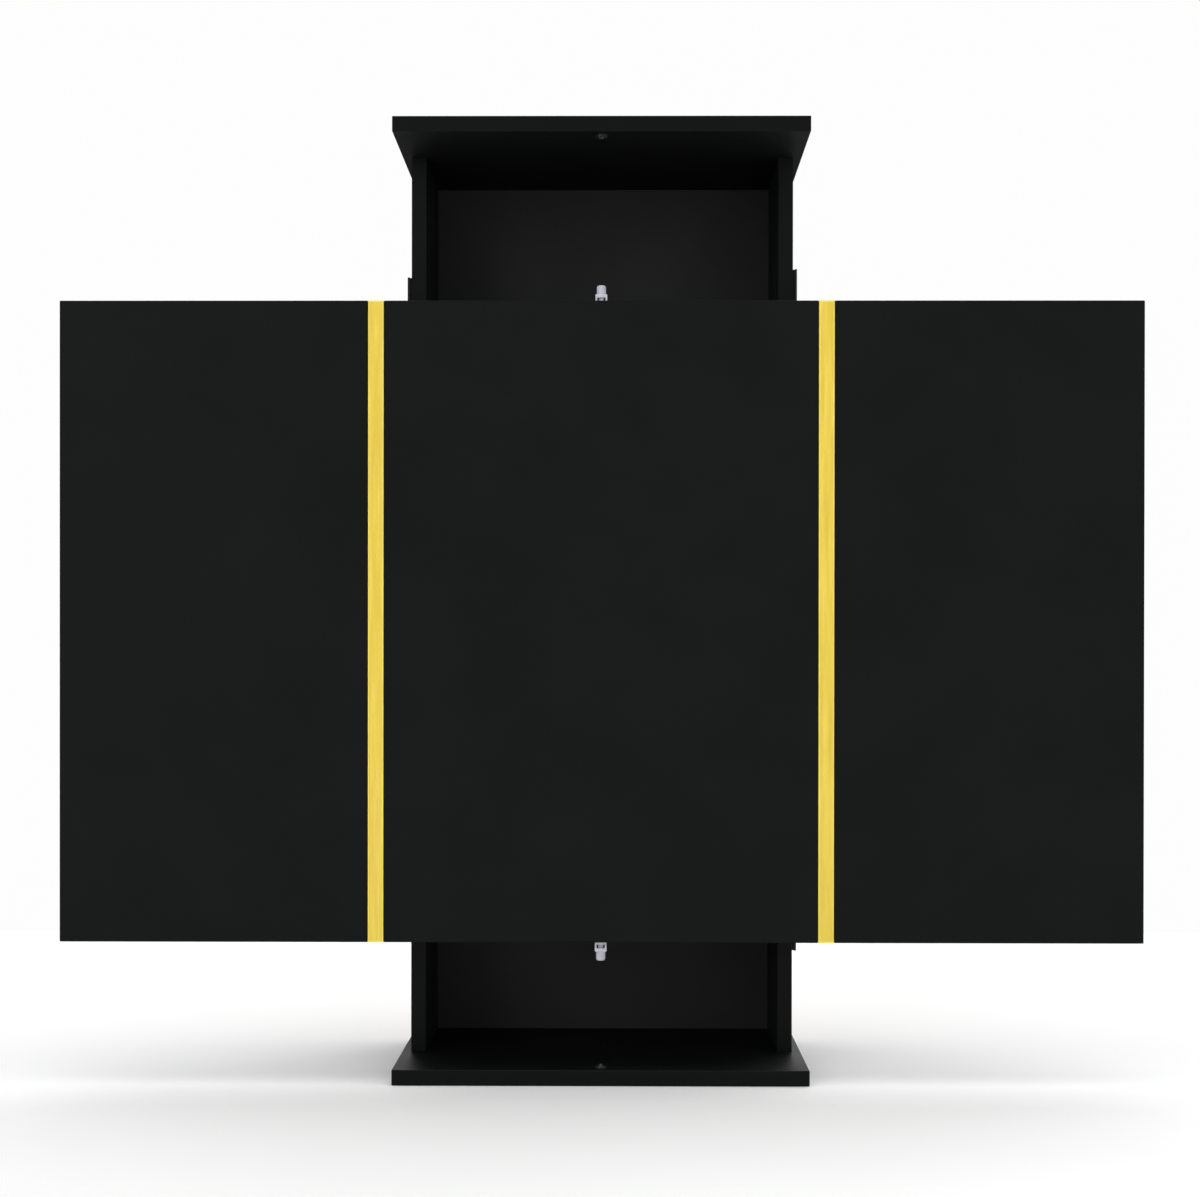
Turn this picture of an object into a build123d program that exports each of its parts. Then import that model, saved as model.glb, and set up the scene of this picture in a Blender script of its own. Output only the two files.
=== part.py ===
from build123d import *
import os

# Dart board cabinet: a tall open-fronted wall column, a carriage that glides up
# and down on its sides, and two wings hinged to the carriage that fold back
# round the column. Millimetres. X is the width, -Y the front, +Z up. The origin
# is the middle of the bottom face, under the middle of the bounding box.

os.makedirs("parts", exist_ok=True)

# ---------------------------------------------------------------- dimensions
BOARD = 18.0  # laminated particle board
HEIGHT = 1125.5  # over both caps
FRONT = -200.0  # front plane of the caps and of the three front panels
BACK = 200.0  # wall plane

CAP_WIDTH = 486.0
CAP_DEPTH = BACK - FRONT
EDGE = 0.7  # small chamfer of the banded board edges

SIDE_OUT = 232.5  # outer face of the column sides
SIDE_IN = SIDE_OUT - BOARD
SIDE_FRONT = -37.7
SIDE_LOW = BOARD
SIDE_HIGH = HEIGHT - BOARD
MID_COLUMN = HEIGHT / 2

BACK_PANEL = 5.0
BACK_PANEL_FRONT = 177.5
GROOVE = 5.2
GROOVE_DEPTH = 8.0
HANG_RAIL_H = 90.0
HANG_RAIL_LOW = 160.0  # underside of the lower rail; the upper one mirrors it
HANG_RAIL_FRONT = BACK_PANEL_FRONT + BACK_PANEL
WALL_HOLE_R = 2.75
WALL_HOLE_X = 175.0
WALL_HOLE_LOW = HANG_RAIL_LOW + HANG_RAIL_H / 2
WALL_HOLE_HIGH = HEIGHT - WALL_HOLE_LOW
HANG_DOWEL_Z = (
    HANG_RAIL_LOW + 25,
    HANG_RAIL_LOW + 65,
    HEIGHT - HANG_RAIL_LOW - 65,
    HEIGHT - HANG_RAIL_LOW - 25,
)

CAP_SCREW_X = (SIDE_OUT + SIDE_IN) / 2
CAP_SCREW_Y = (0.0, 155.0)
CAP_DOWEL_Y = (50.0, 105.0)
DOWEL_R = 4.0
THIN_DOWEL_R = 3.0

# vertical slide rails, T-section, on the outer faces of the sides
RAIL_Y = -19.0
RAIL_WEB = (SIDE_OUT, 235.2)
RAIL_FLANGE = (235.2, 237.7)
RAIL_WEB_HALF = 10.0
RAIL_FLANGE_HALF = 15.0
RIGHT_RAIL_Z = (141.0, 973.0)
LEFT_RAIL_Z = (152.0, 963.0)
RIGHT_RAIL_SCREWS = (161.0, 350.0, 557.0, 764.0, 953.0)
LEFT_RAIL_SCREWS = (172.0, 350.0, 557.0, 764.0, 943.0)

# round steel strike plates for the latches, under the top cap and on the
# bottom cap, each held by one pan-head screw
STRIKE_Y = -175.0
STRIKE_R = 7.6
STRIKE_H = 2.2
STRIKE_HEAD_H = 2.3

# carriage
PANEL_HALF = 252.0
PANEL_LOW = 166.5
PANEL_HIGH = 911.5
PANEL_BACK = FRONT + BOARD
PANEL_MID = (PANEL_LOW + PANEL_HIGH) / 2
CHEEK_IN = 239.0
CHEEK_OUT = 251.0
CHEEK_REAR = 10.0
CHEEK_LOW = 190.0
CHEEK_HIGH = 890.0
CHEEK_DOWEL_Z = (270.0, 420.0, 660.0, 810.0)
BRACKET_Z = (230.0, 539.0, 848.0)
BRACKET_LEG = 30.0
BRACKET_T = 2.0
BRACKET_PANEL_X = 220.0
BRACKET_CHEEK_Y = -163.0

# glides: nylon shoes that wrap the rail flange
GLIDE_Z = (300.0, 760.0)
GLIDE_HALF_Z = 25.0
GLIDE_HALF_Y = 19.5
GLIDE_BACK = 243.5  # bottom of the pocket in the cheek
GLIDE_FACE = 238.0
GLIDE_GAP = 0.3

# friction brake between cheek and rail
BRAKE_Z = 540.0
BRAKE_PAD = (237.8, 242.6)
BRAKE_PAD_Y = 20.0
BRAKE_PAD_Z = 40.0
BRAKE_SCREW_R = 3.0

# rubber buffers that stop the folded wings
BUFFER_Z = (250.0, 610.0, 830.0)
BUFFER_Y = -2.0
BUFFER_R = 8.0
BUFFER_H = 5.7

# hinges
HINGE_X = 254.0
HINGE_Y = -179.0
KNUCKLE_R = 2.7
PIN_R = 1.25
PIN_BORE_R = 1.30
LEAF_T = 1.2
HINGE_LOW = 190.0
KNUCKLES = 25
KNUCKLE_PITCH = 28.0
KNUCKLE_GAP = 0.2
LEAF_CLEAR = 3.1
CHEEK_LEAF_REAR = -150.0
CHEEK_LEAF_SCREW_Y = -163.0
WING_LEAF_EDGE = 270.4
WING_LEAF_SCREW_X = 263.5
CHEEK_HINGE_SCREW_Z = (210.0, 310.0, 400.0, 480.0, 600.0, 690.0, 770.0, 870.0)
WING_HINGE_SCREW_Z = (200.0, 300.0, 395.0, 490.0, 590.0, 685.0, 780.0, 880.0)

# wings
STILE_IN = 252.4
STILE_OUT = 270.8
STILE_ROUND = 1.5  # rounding of the stile's two front edges
WING_OUT = 629.3
STILE_DOWEL_Z = (230.0, 345.0, 445.0, 640.0, 735.0, 845.0)

# push latches behind the top and bottom edges of the centre panel
LATCH_MOUTH_UP = 921.3
LATCH_MOUTH_DOWN = 154.2
LATCH_W = 13.7
LATCH_D = 14.0
LATCH_L = 70.0
NOSE_R = 5.35
NOSE_BORE_R = 5.45
NOSE_OUT = 10.9
NOSE_IN = 3.4
NOSE_FLUTES = 18
STEM_R = 2.6
NECK_W = 5.4
NECK_D = 9.0
WINDOW_W = 9.5
WINDOW_Z = (-3.8, -8.2)
STEM_FLANGE = (-9.2, -10.6)  # the spring pushes on this flange
LEDGE_TOP = -34.0
LEDGE_BOTTOM = -38.0
SPRING_WIRE_R = 0.5
SPRING_R = 4.1
SPRING_TURNS = 6

LATCH_Y = PANEL_BACK + LATCH_D / 2


# ------------------------------------------------------- fastener templates
# Every template points along -Z with its seat at z = 0.

# flat-head wood screw, head flush with z = 0
with BuildPart() as flat_screw:
    with BuildSketch(Plane.XZ):
        with BuildLine():
            Polyline((0, 0), (3.3, 0), (1.6, -1.7), (1.6, -11.0), (0, -13.0), (0, 0))
        make_face()
    revolve(axis=Axis.Z)
    with BuildSketch(Plane.XY):
        Rectangle(3.4, 0.7)
        Rectangle(0.7, 3.4)
    extrude(amount=-0.9, mode=Mode.SUBTRACT)

# short flat-head screw for the glides
with BuildPart() as glide_screw:
    with BuildSketch(Plane.XZ):
        with BuildLine():
            Polyline((0, 0), (3.2, 0), (1.6, -1.6), (1.6, -9.2), (0, -10.8), (0, 0))
        make_face()
    revolve(axis=Axis.Z)
    with BuildSketch(Plane.XY):
        Rectangle(3.2, 0.7)
        Rectangle(0.7, 3.2)
    extrude(amount=-0.9, mode=Mode.SUBTRACT)

# pan-head hinge screw, low head standing on z = 0
with BuildPart() as hinge_screw:
    with BuildSketch(Plane.XZ):
        with BuildLine():
            Polyline((0, 1.1), (1.6, 1.1), (2.6, 0.5), (2.6, 0), (1.5, 0), (1.5, -8.0), (0, -9.8), (0, 1.1))
        make_face()
    revolve(axis=Axis.Z)
    with BuildSketch(Plane.XY.offset(1.1)):
        Rectangle(2.6, 0.6)
        Rectangle(0.6, 2.6)
    extrude(amount=-0.7, mode=Mode.SUBTRACT)

# pan-head screw for brackets, seat at z = 0
with BuildPart() as bracket_screw:
    with BuildSketch(Plane.XZ):
        with BuildLine():
            Polyline((0, 2.2), (2.0, 2.2), (3.5, 1.0), (3.5, 0), (1.9, 0), (1.9, -8.6), (0, -10.6), (0, 2.2))
        make_face()
    revolve(axis=Axis.Z)
    with BuildSketch(Plane.XY.offset(2.2)):
        Rectangle(3.6, 0.8)
        Rectangle(0.8, 3.6)
    extrude(amount=-1.2, mode=Mode.SUBTRACT)

# pan-head screw for the latch housings, seat at z = 0
with BuildPart() as latch_screw:
    with BuildSketch(Plane.XZ):
        with BuildLine():
            Polyline((0, 1.8), (1.6, 1.8), (2.8, 0.8), (2.8, 0), (1.5, 0), (1.5, -12.5), (0, -14.3), (0, 1.8))
        make_face()
    revolve(axis=Axis.Z)
    with BuildSketch(Plane.XY.offset(1.8)):
        Rectangle(2.8, 0.7)
        Rectangle(0.7, 2.8)
    extrude(amount=-1.0, mode=Mode.SUBTRACT)

# confirmat cabinet screw, under side of the head at z = 0
with BuildPart() as cabinet_screw:
    with BuildSketch(Plane.XZ):
        with BuildLine():
            Polyline(
                (0, 3.0), (4.8, 3.0), (4.8, 1.0), (3.5, 0), (3.5, -12.2),
                (2.5, -12.9), (2.5, -43.5), (0, -46.5), (0, 3.0),
            )
        make_face()
    revolve(axis=Axis.Z)
    with BuildSketch(Plane.XY.offset(3.0)):
        RegularPolygon(radius=2.3, side_count=6)
    extrude(amount=-2.2, mode=Mode.SUBTRACT)

# strike screw, pan head, seat at z = 0
with BuildPart() as strike_screw:
    with BuildSketch(Plane.XZ):
        with BuildLine():
            Polyline(
                (0, STRIKE_HEAD_H), (1.7, STRIKE_HEAD_H), (2.8, STRIKE_HEAD_H - 0.5),
                (3.4, STRIKE_HEAD_H - 1.4), (3.4, 0), (1.75, 0), (1.75, -12.5), (0, -14.5),
                (0, STRIKE_HEAD_H),
            )
        make_face()
    revolve(axis=Axis.Z)
    with BuildSketch(Plane.XY.offset(STRIKE_HEAD_H)):
        Rectangle(3.4, 0.7)
        Rectangle(0.7, 3.4)
    extrude(amount=-1.2, mode=Mode.SUBTRACT)


# =================================================================== column
# ------------------------------------------------------------- bottom cap
with BuildPart() as bottom_cap:
    with BuildSketch(Plane.XY):
        with Locations((0, (FRONT + BACK) / 2)):
            Rectangle(CAP_WIDTH, CAP_DEPTH)
    extrude(amount=BOARD)
    chamfer(bottom_cap.edges(), EDGE)
    # groove for the back panel
    with BuildSketch(Plane.XY.offset(BOARD)):
        with Locations((0, BACK_PANEL_FRONT + GROOVE / 2)):
            Rectangle(2 * (SIDE_IN + GROOVE_DEPTH), GROOVE)
    extrude(amount=-GROOVE_DEPTH, mode=Mode.SUBTRACT)
    # cabinet screws: clearance holes, deep counterbores from underneath
    with BuildSketch(Plane.XY):
        for y in CAP_SCREW_Y:
            with Locations((CAP_SCREW_X, y), (-CAP_SCREW_X, y)):
                Circle(3.6)
    extrude(amount=BOARD, mode=Mode.SUBTRACT)
    with BuildSketch(Plane.XY):
        for y in CAP_SCREW_Y:
            with Locations((CAP_SCREW_X, y), (-CAP_SCREW_X, y)):
                Circle(5.2)
    extrude(amount=5.0, mode=Mode.SUBTRACT)
    # dowel holes
    with BuildSketch(Plane.XY.offset(BOARD)):
        for y in CAP_DOWEL_Y:
            with Locations((CAP_SCREW_X, y), (-CAP_SCREW_X, y)):
                Circle(DOWEL_R + 0.05)
    extrude(amount=-12.2, mode=Mode.SUBTRACT)
    # pilot hole of the strike screw
    with BuildSketch(Plane.XY.offset(BOARD)):
        with Locations((0, STRIKE_Y)):
            Circle(1.8)
    extrude(amount=-13.5, mode=Mode.SUBTRACT)

with BuildPart() as top_cap:
    mirror(bottom_cap.part, about=Plane.XY.offset(MID_COLUMN))

# ------------------------------------------------------------------- sides
with BuildPart() as right_side:
    with BuildSketch(Plane.XY.offset(SIDE_LOW)):
        with Locations(((SIDE_IN + SIDE_OUT) / 2, (SIDE_FRONT + BACK) / 2)):
            Rectangle(BOARD, BACK - SIDE_FRONT)
    extrude(amount=SIDE_HIGH - SIDE_LOW)
    chamfer(right_side.edges().filter_by(Axis.Z), EDGE)
    # groove for the back panel
    with BuildSketch(Plane.XY.offset(SIDE_LOW)):
        with Locations((SIDE_IN + GROOVE_DEPTH / 2, BACK_PANEL_FRONT + GROOVE / 2)):
            Rectangle(GROOVE_DEPTH, GROOVE)
    extrude(amount=SIDE_HIGH - SIDE_LOW, mode=Mode.SUBTRACT)
    # cabinet screw pilots and dowel holes in both ends
    for plane in (Plane.XY.offset(SIDE_LOW), Plane.XY.offset(SIDE_HIGH)):
        inward = 1 if plane.origin.Z < MID_COLUMN else -1
        with BuildSketch(plane):
            with Locations(*[(CAP_SCREW_X, y) for y in CAP_SCREW_Y]):
                Circle(2.55)
        extrude(amount=inward * 35.0, mode=Mode.SUBTRACT)
        with BuildSketch(plane):
            with Locations(*[(CAP_SCREW_X, y) for y in CAP_DOWEL_Y]):
                Circle(DOWEL_R + 0.05)
        extrude(amount=inward * 20.2, mode=Mode.SUBTRACT)
    # pilots of the rail screws, from the outer face
    with BuildSketch(Plane(origin=(SIDE_OUT, 0, 0), x_dir=(0, 1, 0), z_dir=(1, 0, 0))):
        with Locations(*[(RAIL_Y, z) for z in RIGHT_RAIL_SCREWS]):
            Circle(1.65)
    extrude(amount=-9.0, mode=Mode.SUBTRACT)
    # dowel holes for the hanging rails, from the inner face
    with BuildSketch(Plane(origin=(SIDE_IN, 0, 0), x_dir=(0, 1, 0), z_dir=(1, 0, 0))):
        for z in HANG_DOWEL_Z:
            with Locations(((HANG_RAIL_FRONT + BACK) / 2, z)):
                Circle(DOWEL_R + 0.05)
    extrude(amount=12.2, mode=Mode.SUBTRACT)

with BuildPart() as left_side:
    with BuildSketch(Plane.XY.offset(SIDE_LOW)):
        with Locations((-(SIDE_IN + SIDE_OUT) / 2, (SIDE_FRONT + BACK) / 2)):
            Rectangle(BOARD, BACK - SIDE_FRONT)
    extrude(amount=SIDE_HIGH - SIDE_LOW)
    chamfer(left_side.edges().filter_by(Axis.Z), EDGE)
    with BuildSketch(Plane.XY.offset(SIDE_LOW)):
        with Locations((-(SIDE_IN + GROOVE_DEPTH / 2), BACK_PANEL_FRONT + GROOVE / 2)):
            Rectangle(GROOVE_DEPTH, GROOVE)
    extrude(amount=SIDE_HIGH - SIDE_LOW, mode=Mode.SUBTRACT)
    for plane in (Plane.XY.offset(SIDE_LOW), Plane.XY.offset(SIDE_HIGH)):
        inward = 1 if plane.origin.Z < MID_COLUMN else -1
        with BuildSketch(plane):
            with Locations(*[(-CAP_SCREW_X, y) for y in CAP_SCREW_Y]):
                Circle(2.55)
        extrude(amount=inward * 35.0, mode=Mode.SUBTRACT)
        with BuildSketch(plane):
            with Locations(*[(-CAP_SCREW_X, y) for y in CAP_DOWEL_Y]):
                Circle(DOWEL_R + 0.05)
        extrude(amount=inward * 20.2, mode=Mode.SUBTRACT)
    with BuildSketch(Plane(origin=(-SIDE_OUT, 0, 0), x_dir=(0, 1, 0), z_dir=(1, 0, 0))):
        with Locations(*[(RAIL_Y, z) for z in LEFT_RAIL_SCREWS]):
            Circle(1.65)
    extrude(amount=9.0, mode=Mode.SUBTRACT)
    with BuildSketch(Plane(origin=(-SIDE_IN, 0, 0), x_dir=(0, 1, 0), z_dir=(1, 0, 0))):
        for z in HANG_DOWEL_Z:
            with Locations(((HANG_RAIL_FRONT + BACK) / 2, z)):
                Circle(DOWEL_R + 0.05)
    extrude(amount=-12.2, mode=Mode.SUBTRACT)

# -------------------------------------------------------------- back panel
WALL_HOLES = [
    (sx * WALL_HOLE_X, z)
    for sx in (-1, 1)
    for z in (WALL_HOLE_LOW, WALL_HOLE_HIGH)
]
with BuildPart() as back_panel:
    with BuildSketch(Plane.XY.offset(SIDE_LOW - GROOVE_DEPTH + 0.5)):
        with Locations((0, BACK_PANEL_FRONT + BACK_PANEL / 2)):
            Rectangle(2 * (SIDE_IN + GROOVE_DEPTH - 0.5), BACK_PANEL)
    extrude(amount=SIDE_HIGH - SIDE_LOW + 2 * (GROOVE_DEPTH - 0.5))
    # wall screw holes, drilled through panel and hanging rails
    with BuildSketch(Plane.XZ.offset(-BACK_PANEL_FRONT)):
        with Locations(*WALL_HOLES):
            Circle(WALL_HOLE_R)
    extrude(amount=-BACK_PANEL, mode=Mode.SUBTRACT)
    # clearance holes of the short screws that hold it to the hanging rails
    with BuildSketch(Plane.XZ.offset(-BACK_PANEL_FRONT)):
        for z in (WALL_HOLE_LOW, WALL_HOLE_HIGH):
            with Locations((-60, z), (60, z)):
                Circle(1.7)
    extrude(amount=-BACK_PANEL, mode=Mode.SUBTRACT)
    for z in (WALL_HOLE_LOW, WALL_HOLE_HIGH):
        for x in (-60, 60):
            with Locations(Plane(origin=(x, BACK_PANEL_FRONT, z), x_dir=(1, 0, 0), z_dir=(0, -1, 0))):
                CounterSinkHole(radius=1.7, counter_sink_radius=3.45, depth=4.0, counter_sink_angle=90)

# ------------------------------------------------------------ hanging rails
with BuildPart() as lower_hanging_rail:
    with BuildSketch(Plane.XY.offset(HANG_RAIL_LOW)):
        with Locations((0, (HANG_RAIL_FRONT + BACK) / 2)):
            Rectangle(2 * SIDE_IN, BACK - HANG_RAIL_FRONT)
    extrude(amount=HANG_RAIL_H)
    with BuildSketch(Plane.XZ.offset(-HANG_RAIL_FRONT)):
        with Locations((-WALL_HOLE_X, WALL_HOLE_LOW), (WALL_HOLE_X, WALL_HOLE_LOW)):
            Circle(WALL_HOLE_R)
    extrude(amount=-(BACK - HANG_RAIL_FRONT), mode=Mode.SUBTRACT)
    with BuildSketch(Plane.XZ.offset(-HANG_RAIL_FRONT)):
        with Locations((-60, WALL_HOLE_LOW), (60, WALL_HOLE_LOW)):
            Circle(1.65)
    extrude(amount=-9.5, mode=Mode.SUBTRACT)
    for sx in (-1, 1):
        with BuildSketch(Plane(origin=(sx * SIDE_IN, 0, 0), x_dir=(0, 1, 0), z_dir=(1, 0, 0))):
            with Locations(*[((HANG_RAIL_FRONT + BACK) / 2, z) for z in HANG_DOWEL_Z[:2]]):
                Circle(DOWEL_R + 0.05)
        extrude(amount=-sx * 20.2, mode=Mode.SUBTRACT)

with BuildPart() as upper_hanging_rail:
    mirror(lower_hanging_rail.part, about=Plane.XY.offset(MID_COLUMN))

# ---------------------------------------------------------- column fasteners
with BuildPart() as cap_screws:
    for y in CAP_SCREW_Y:
        for x in (-CAP_SCREW_X, CAP_SCREW_X):
            with Locations(Plane(origin=(x, y, 5.0), x_dir=(1, 0, 0), z_dir=(0, 0, -1))):
                add(cabinet_screw.part)
            with Locations(Plane(origin=(x, y, HEIGHT - 5.0), x_dir=(1, 0, 0), z_dir=(0, 0, 1))):
                add(cabinet_screw.part)

with BuildPart() as cap_screw_covers:
    for y in CAP_SCREW_Y:
        for x in (-CAP_SCREW_X, CAP_SCREW_X):
            with Locations((x, y, 0.3), (x, y, HEIGHT - 1.5)):
                Cylinder(5.1, 1.2, align=(Align.CENTER, Align.CENTER, Align.MIN))

with BuildPart() as cap_dowels:
    for y in CAP_DOWEL_Y:
        for x in (-CAP_SCREW_X, CAP_SCREW_X):
            with Locations((x, y, SIDE_LOW + 4.0), (x, y, SIDE_HIGH - 4.0)):
                Cylinder(DOWEL_R, 32.0)
    chamfer(cap_dowels.edges().filter_by(GeomType.CIRCLE), 0.6)

with BuildPart() as hanging_rail_dowels:
    for x in (-SIDE_IN, SIDE_IN):
        shift = -4.0 if x > 0 else 4.0
        for z in HANG_DOWEL_Z:
            with Locations((x + shift, (HANG_RAIL_FRONT + BACK) / 2, z)):
                Cylinder(DOWEL_R, 32.0, rotation=(0, 90, 0))
    chamfer(hanging_rail_dowels.edges().filter_by(GeomType.CIRCLE), 0.6)

with BuildPart() as back_panel_screws:
    for z in (WALL_HOLE_LOW, WALL_HOLE_HIGH):
        for x in (-60, 60):
            with Locations(Plane(origin=(x, BACK_PANEL_FRONT, z), x_dir=(1, 0, 0), z_dir=(0, -1, 0))):
                add(flat_screw.part)

# --------------------------------------------------------------- slide rails
with BuildPart() as right_slide_rail:
    with BuildSketch(Plane.XY.offset(RIGHT_RAIL_Z[0])):
        with Locations(((RAIL_WEB[0] + RAIL_WEB[1]) / 2, RAIL_Y)):
            Rectangle(RAIL_WEB[1] - RAIL_WEB[0], 2 * RAIL_WEB_HALF)
        with Locations(((RAIL_FLANGE[0] + RAIL_FLANGE[1]) / 2, RAIL_Y)):
            Rectangle(RAIL_FLANGE[1] - RAIL_FLANGE[0], 2 * RAIL_FLANGE_HALF)
    extrude(amount=RIGHT_RAIL_Z[1] - RIGHT_RAIL_Z[0])
    for z in RIGHT_RAIL_SCREWS:
        with Locations(Plane(origin=(RAIL_FLANGE[1], RAIL_Y, z), x_dir=(0, 1, 0), z_dir=(1, 0, 0))):
            CounterSinkHole(radius=1.7, counter_sink_radius=3.45, depth=8.0, counter_sink_angle=90)

with BuildPart() as left_slide_rail:
    with BuildSketch(Plane.XY.offset(LEFT_RAIL_Z[0])):
        with Locations((-(RAIL_WEB[0] + RAIL_WEB[1]) / 2, RAIL_Y)):
            Rectangle(RAIL_WEB[1] - RAIL_WEB[0], 2 * RAIL_WEB_HALF)
        with Locations((-(RAIL_FLANGE[0] + RAIL_FLANGE[1]) / 2, RAIL_Y)):
            Rectangle(RAIL_FLANGE[1] - RAIL_FLANGE[0], 2 * RAIL_FLANGE_HALF)
    extrude(amount=LEFT_RAIL_Z[1] - LEFT_RAIL_Z[0])
    for z in LEFT_RAIL_SCREWS:
        with Locations(Plane(origin=(-RAIL_FLANGE[1], RAIL_Y, z), x_dir=(0, 1, 0), z_dir=(-1, 0, 0))):
            CounterSinkHole(radius=1.7, counter_sink_radius=3.45, depth=8.0, counter_sink_angle=90)

with BuildPart() as slide_rail_screws:
    for z in RIGHT_RAIL_SCREWS:
        with Locations(Plane(origin=(RAIL_FLANGE[1], RAIL_Y, z), x_dir=(0, 1, 0), z_dir=(1, 0, 0))):
            add(flat_screw.part)
    for z in LEFT_RAIL_SCREWS:
        with Locations(Plane(origin=(-RAIL_FLANGE[1], RAIL_Y, z), x_dir=(0, 1, 0), z_dir=(-1, 0, 0))):
            add(flat_screw.part)

# ------------------------------------------------------------------- strikes
with BuildPart() as lower_strike:
    with BuildSketch(Plane.XY.offset(BOARD)):
        with Locations((0, STRIKE_Y)):
            Circle(STRIKE_R)
    extrude(amount=STRIKE_H)
    chamfer(lower_strike.faces().sort_by(Axis.Z)[-1].edges(), 0.4)
    with BuildSketch(Plane.XY.offset(BOARD)):
        with Locations((0, STRIKE_Y)):
            Circle(1.85)
    extrude(amount=STRIKE_H, mode=Mode.SUBTRACT)

with BuildPart() as upper_strike:
    mirror(lower_strike.part, about=Plane.XY.offset(MID_COLUMN))

with BuildPart() as strike_screws:
    with Locations(Plane(origin=(0, STRIKE_Y, BOARD + STRIKE_H), x_dir=(1, 0, 0), z_dir=(0, 0, 1))):
        add(strike_screw.part)
    with Locations(
        Plane(origin=(0, STRIKE_Y, HEIGHT - BOARD - STRIKE_H), x_dir=(1, 0, 0), z_dir=(0, 0, -1))
    ):
        add(strike_screw.part)


# ================================================================= carriage
# ------------------------------------------------------------ centre panel
LATCH_SCREWS = [(sx * 11.5, z) for sx in (-1, 1) for z in (-28.0, -50.0)]
with BuildPart() as centre_panel:
    with BuildSketch(Plane.XY.offset(PANEL_LOW)):
        with Locations((0, (FRONT + PANEL_BACK) / 2)):
            Rectangle(2 * PANEL_HALF, BOARD)
    extrude(amount=PANEL_HIGH - PANEL_LOW)
    chamfer(centre_panel.edges(), EDGE)
    # cheek dowels, bracket screws and latch screws, all from the back face
    with BuildSketch(Plane.XZ.offset(-PANEL_BACK)):
        for z in CHEEK_DOWEL_Z:
            with Locations((-245.0, z), (245.0, z)):
                Circle(THIN_DOWEL_R + 0.05)
    extrude(amount=10.2, mode=Mode.SUBTRACT)
    with BuildSketch(Plane.XZ.offset(-PANEL_BACK)):
        for z in BRACKET_Z:
            with Locations((-BRACKET_PANEL_X, z), (BRACKET_PANEL_X, z)):
                Circle(1.95)
    extrude(amount=9.0, mode=Mode.SUBTRACT)
    with BuildSketch(Plane.XZ.offset(-PANEL_BACK)):
        with Locations(*[(x, LATCH_MOUTH_UP + z) for x, z in LATCH_SCREWS]):
            Circle(1.55)
        with Locations(*[(x, LATCH_MOUTH_DOWN - z) for x, z in LATCH_SCREWS]):
            Circle(1.55)
    extrude(amount=11.5, mode=Mode.SUBTRACT)

# ------------------------------------------------------------------ cheeks
with BuildPart() as right_cheek:
    with BuildSketch(Plane.XY.offset(CHEEK_LOW)):
        with Locations(((CHEEK_IN + CHEEK_OUT) / 2, (PANEL_BACK + CHEEK_REAR) / 2)):
            Rectangle(CHEEK_OUT - CHEEK_IN, CHEEK_REAR - PANEL_BACK)
    extrude(amount=CHEEK_HIGH - CHEEK_LOW)
    chamfer(right_cheek.edges().group_by(Axis.Y)[-1], EDGE)
    # pockets for the glides and the brake pad, from the inner face
    with BuildSketch(Plane(origin=(CHEEK_IN, 0, 0), x_dir=(0, 1, 0), z_dir=(1, 0, 0))):
        with Locations(*[(RAIL_Y, z) for z in GLIDE_Z]):
            Rectangle(2 * GLIDE_HALF_Y, 2 * GLIDE_HALF_Z)
    extrude(amount=GLIDE_BACK - CHEEK_IN, mode=Mode.SUBTRACT)
    with BuildSketch(Plane(origin=(CHEEK_IN, 0, 0), x_dir=(0, 1, 0), z_dir=(1, 0, 0))):
        with Locations((RAIL_Y, BRAKE_Z)):
            Rectangle(BRAKE_PAD_Y + 0.2, BRAKE_PAD_Z + 0.2)
    extrude(amount=BRAKE_PAD[1] - CHEEK_IN, mode=Mode.SUBTRACT)
    with BuildSketch(Plane(origin=(BRAKE_PAD[1], 0, 0), x_dir=(0, 1, 0), z_dir=(1, 0, 0))):
        with Locations((RAIL_Y, BRAKE_Z)):
            Circle(BRAKE_SCREW_R + 0.05)
    extrude(amount=CHEEK_OUT - BRAKE_PAD[1], mode=Mode.SUBTRACT)
    # glide screw pilots
    with BuildSketch(Plane(origin=(GLIDE_BACK, 0, 0), x_dir=(0, 1, 0), z_dir=(1, 0, 0))):
        for z in GLIDE_Z:
            with Locations((RAIL_Y, z - 14), (RAIL_Y, z + 14)):
                Circle(1.65)
    extrude(amount=6.0, mode=Mode.SUBTRACT)
    # dowel holes in the front edge
    with BuildSketch(Plane.XZ.offset(-PANEL_BACK)):
        with Locations(*[(245.0, z) for z in CHEEK_DOWEL_Z]):
            Circle(THIN_DOWEL_R + 0.05)
    extrude(amount=-15.2, mode=Mode.SUBTRACT)
    # bracket screws, from the inner face
    with BuildSketch(Plane(origin=(CHEEK_IN, 0, 0), x_dir=(0, 1, 0), z_dir=(1, 0, 0))):
        with Locations(*[(BRACKET_CHEEK_Y, z) for z in BRACKET_Z]):
            Circle(1.95)
    extrude(amount=9.0, mode=Mode.SUBTRACT)
    # hinge screws and buffer stems, from the outer face
    with BuildSketch(Plane(origin=(CHEEK_OUT, 0, 0), x_dir=(0, 1, 0), z_dir=(1, 0, 0))):
        with Locations(*[(CHEEK_LEAF_SCREW_Y, z) for z in CHEEK_HINGE_SCREW_Z]):
            Circle(1.55)
    extrude(amount=-8.9, mode=Mode.SUBTRACT)
    with BuildSketch(Plane(origin=(CHEEK_OUT, 0, 0), x_dir=(0, 1, 0), z_dir=(1, 0, 0))):
        with Locations(*[(BUFFER_Y, z) for z in BUFFER_Z]):
            Circle(3.05)
    extrude(amount=-7.2, mode=Mode.SUBTRACT)

with BuildPart() as left_cheek:
    mirror(right_cheek.part, about=Plane.YZ)

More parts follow.
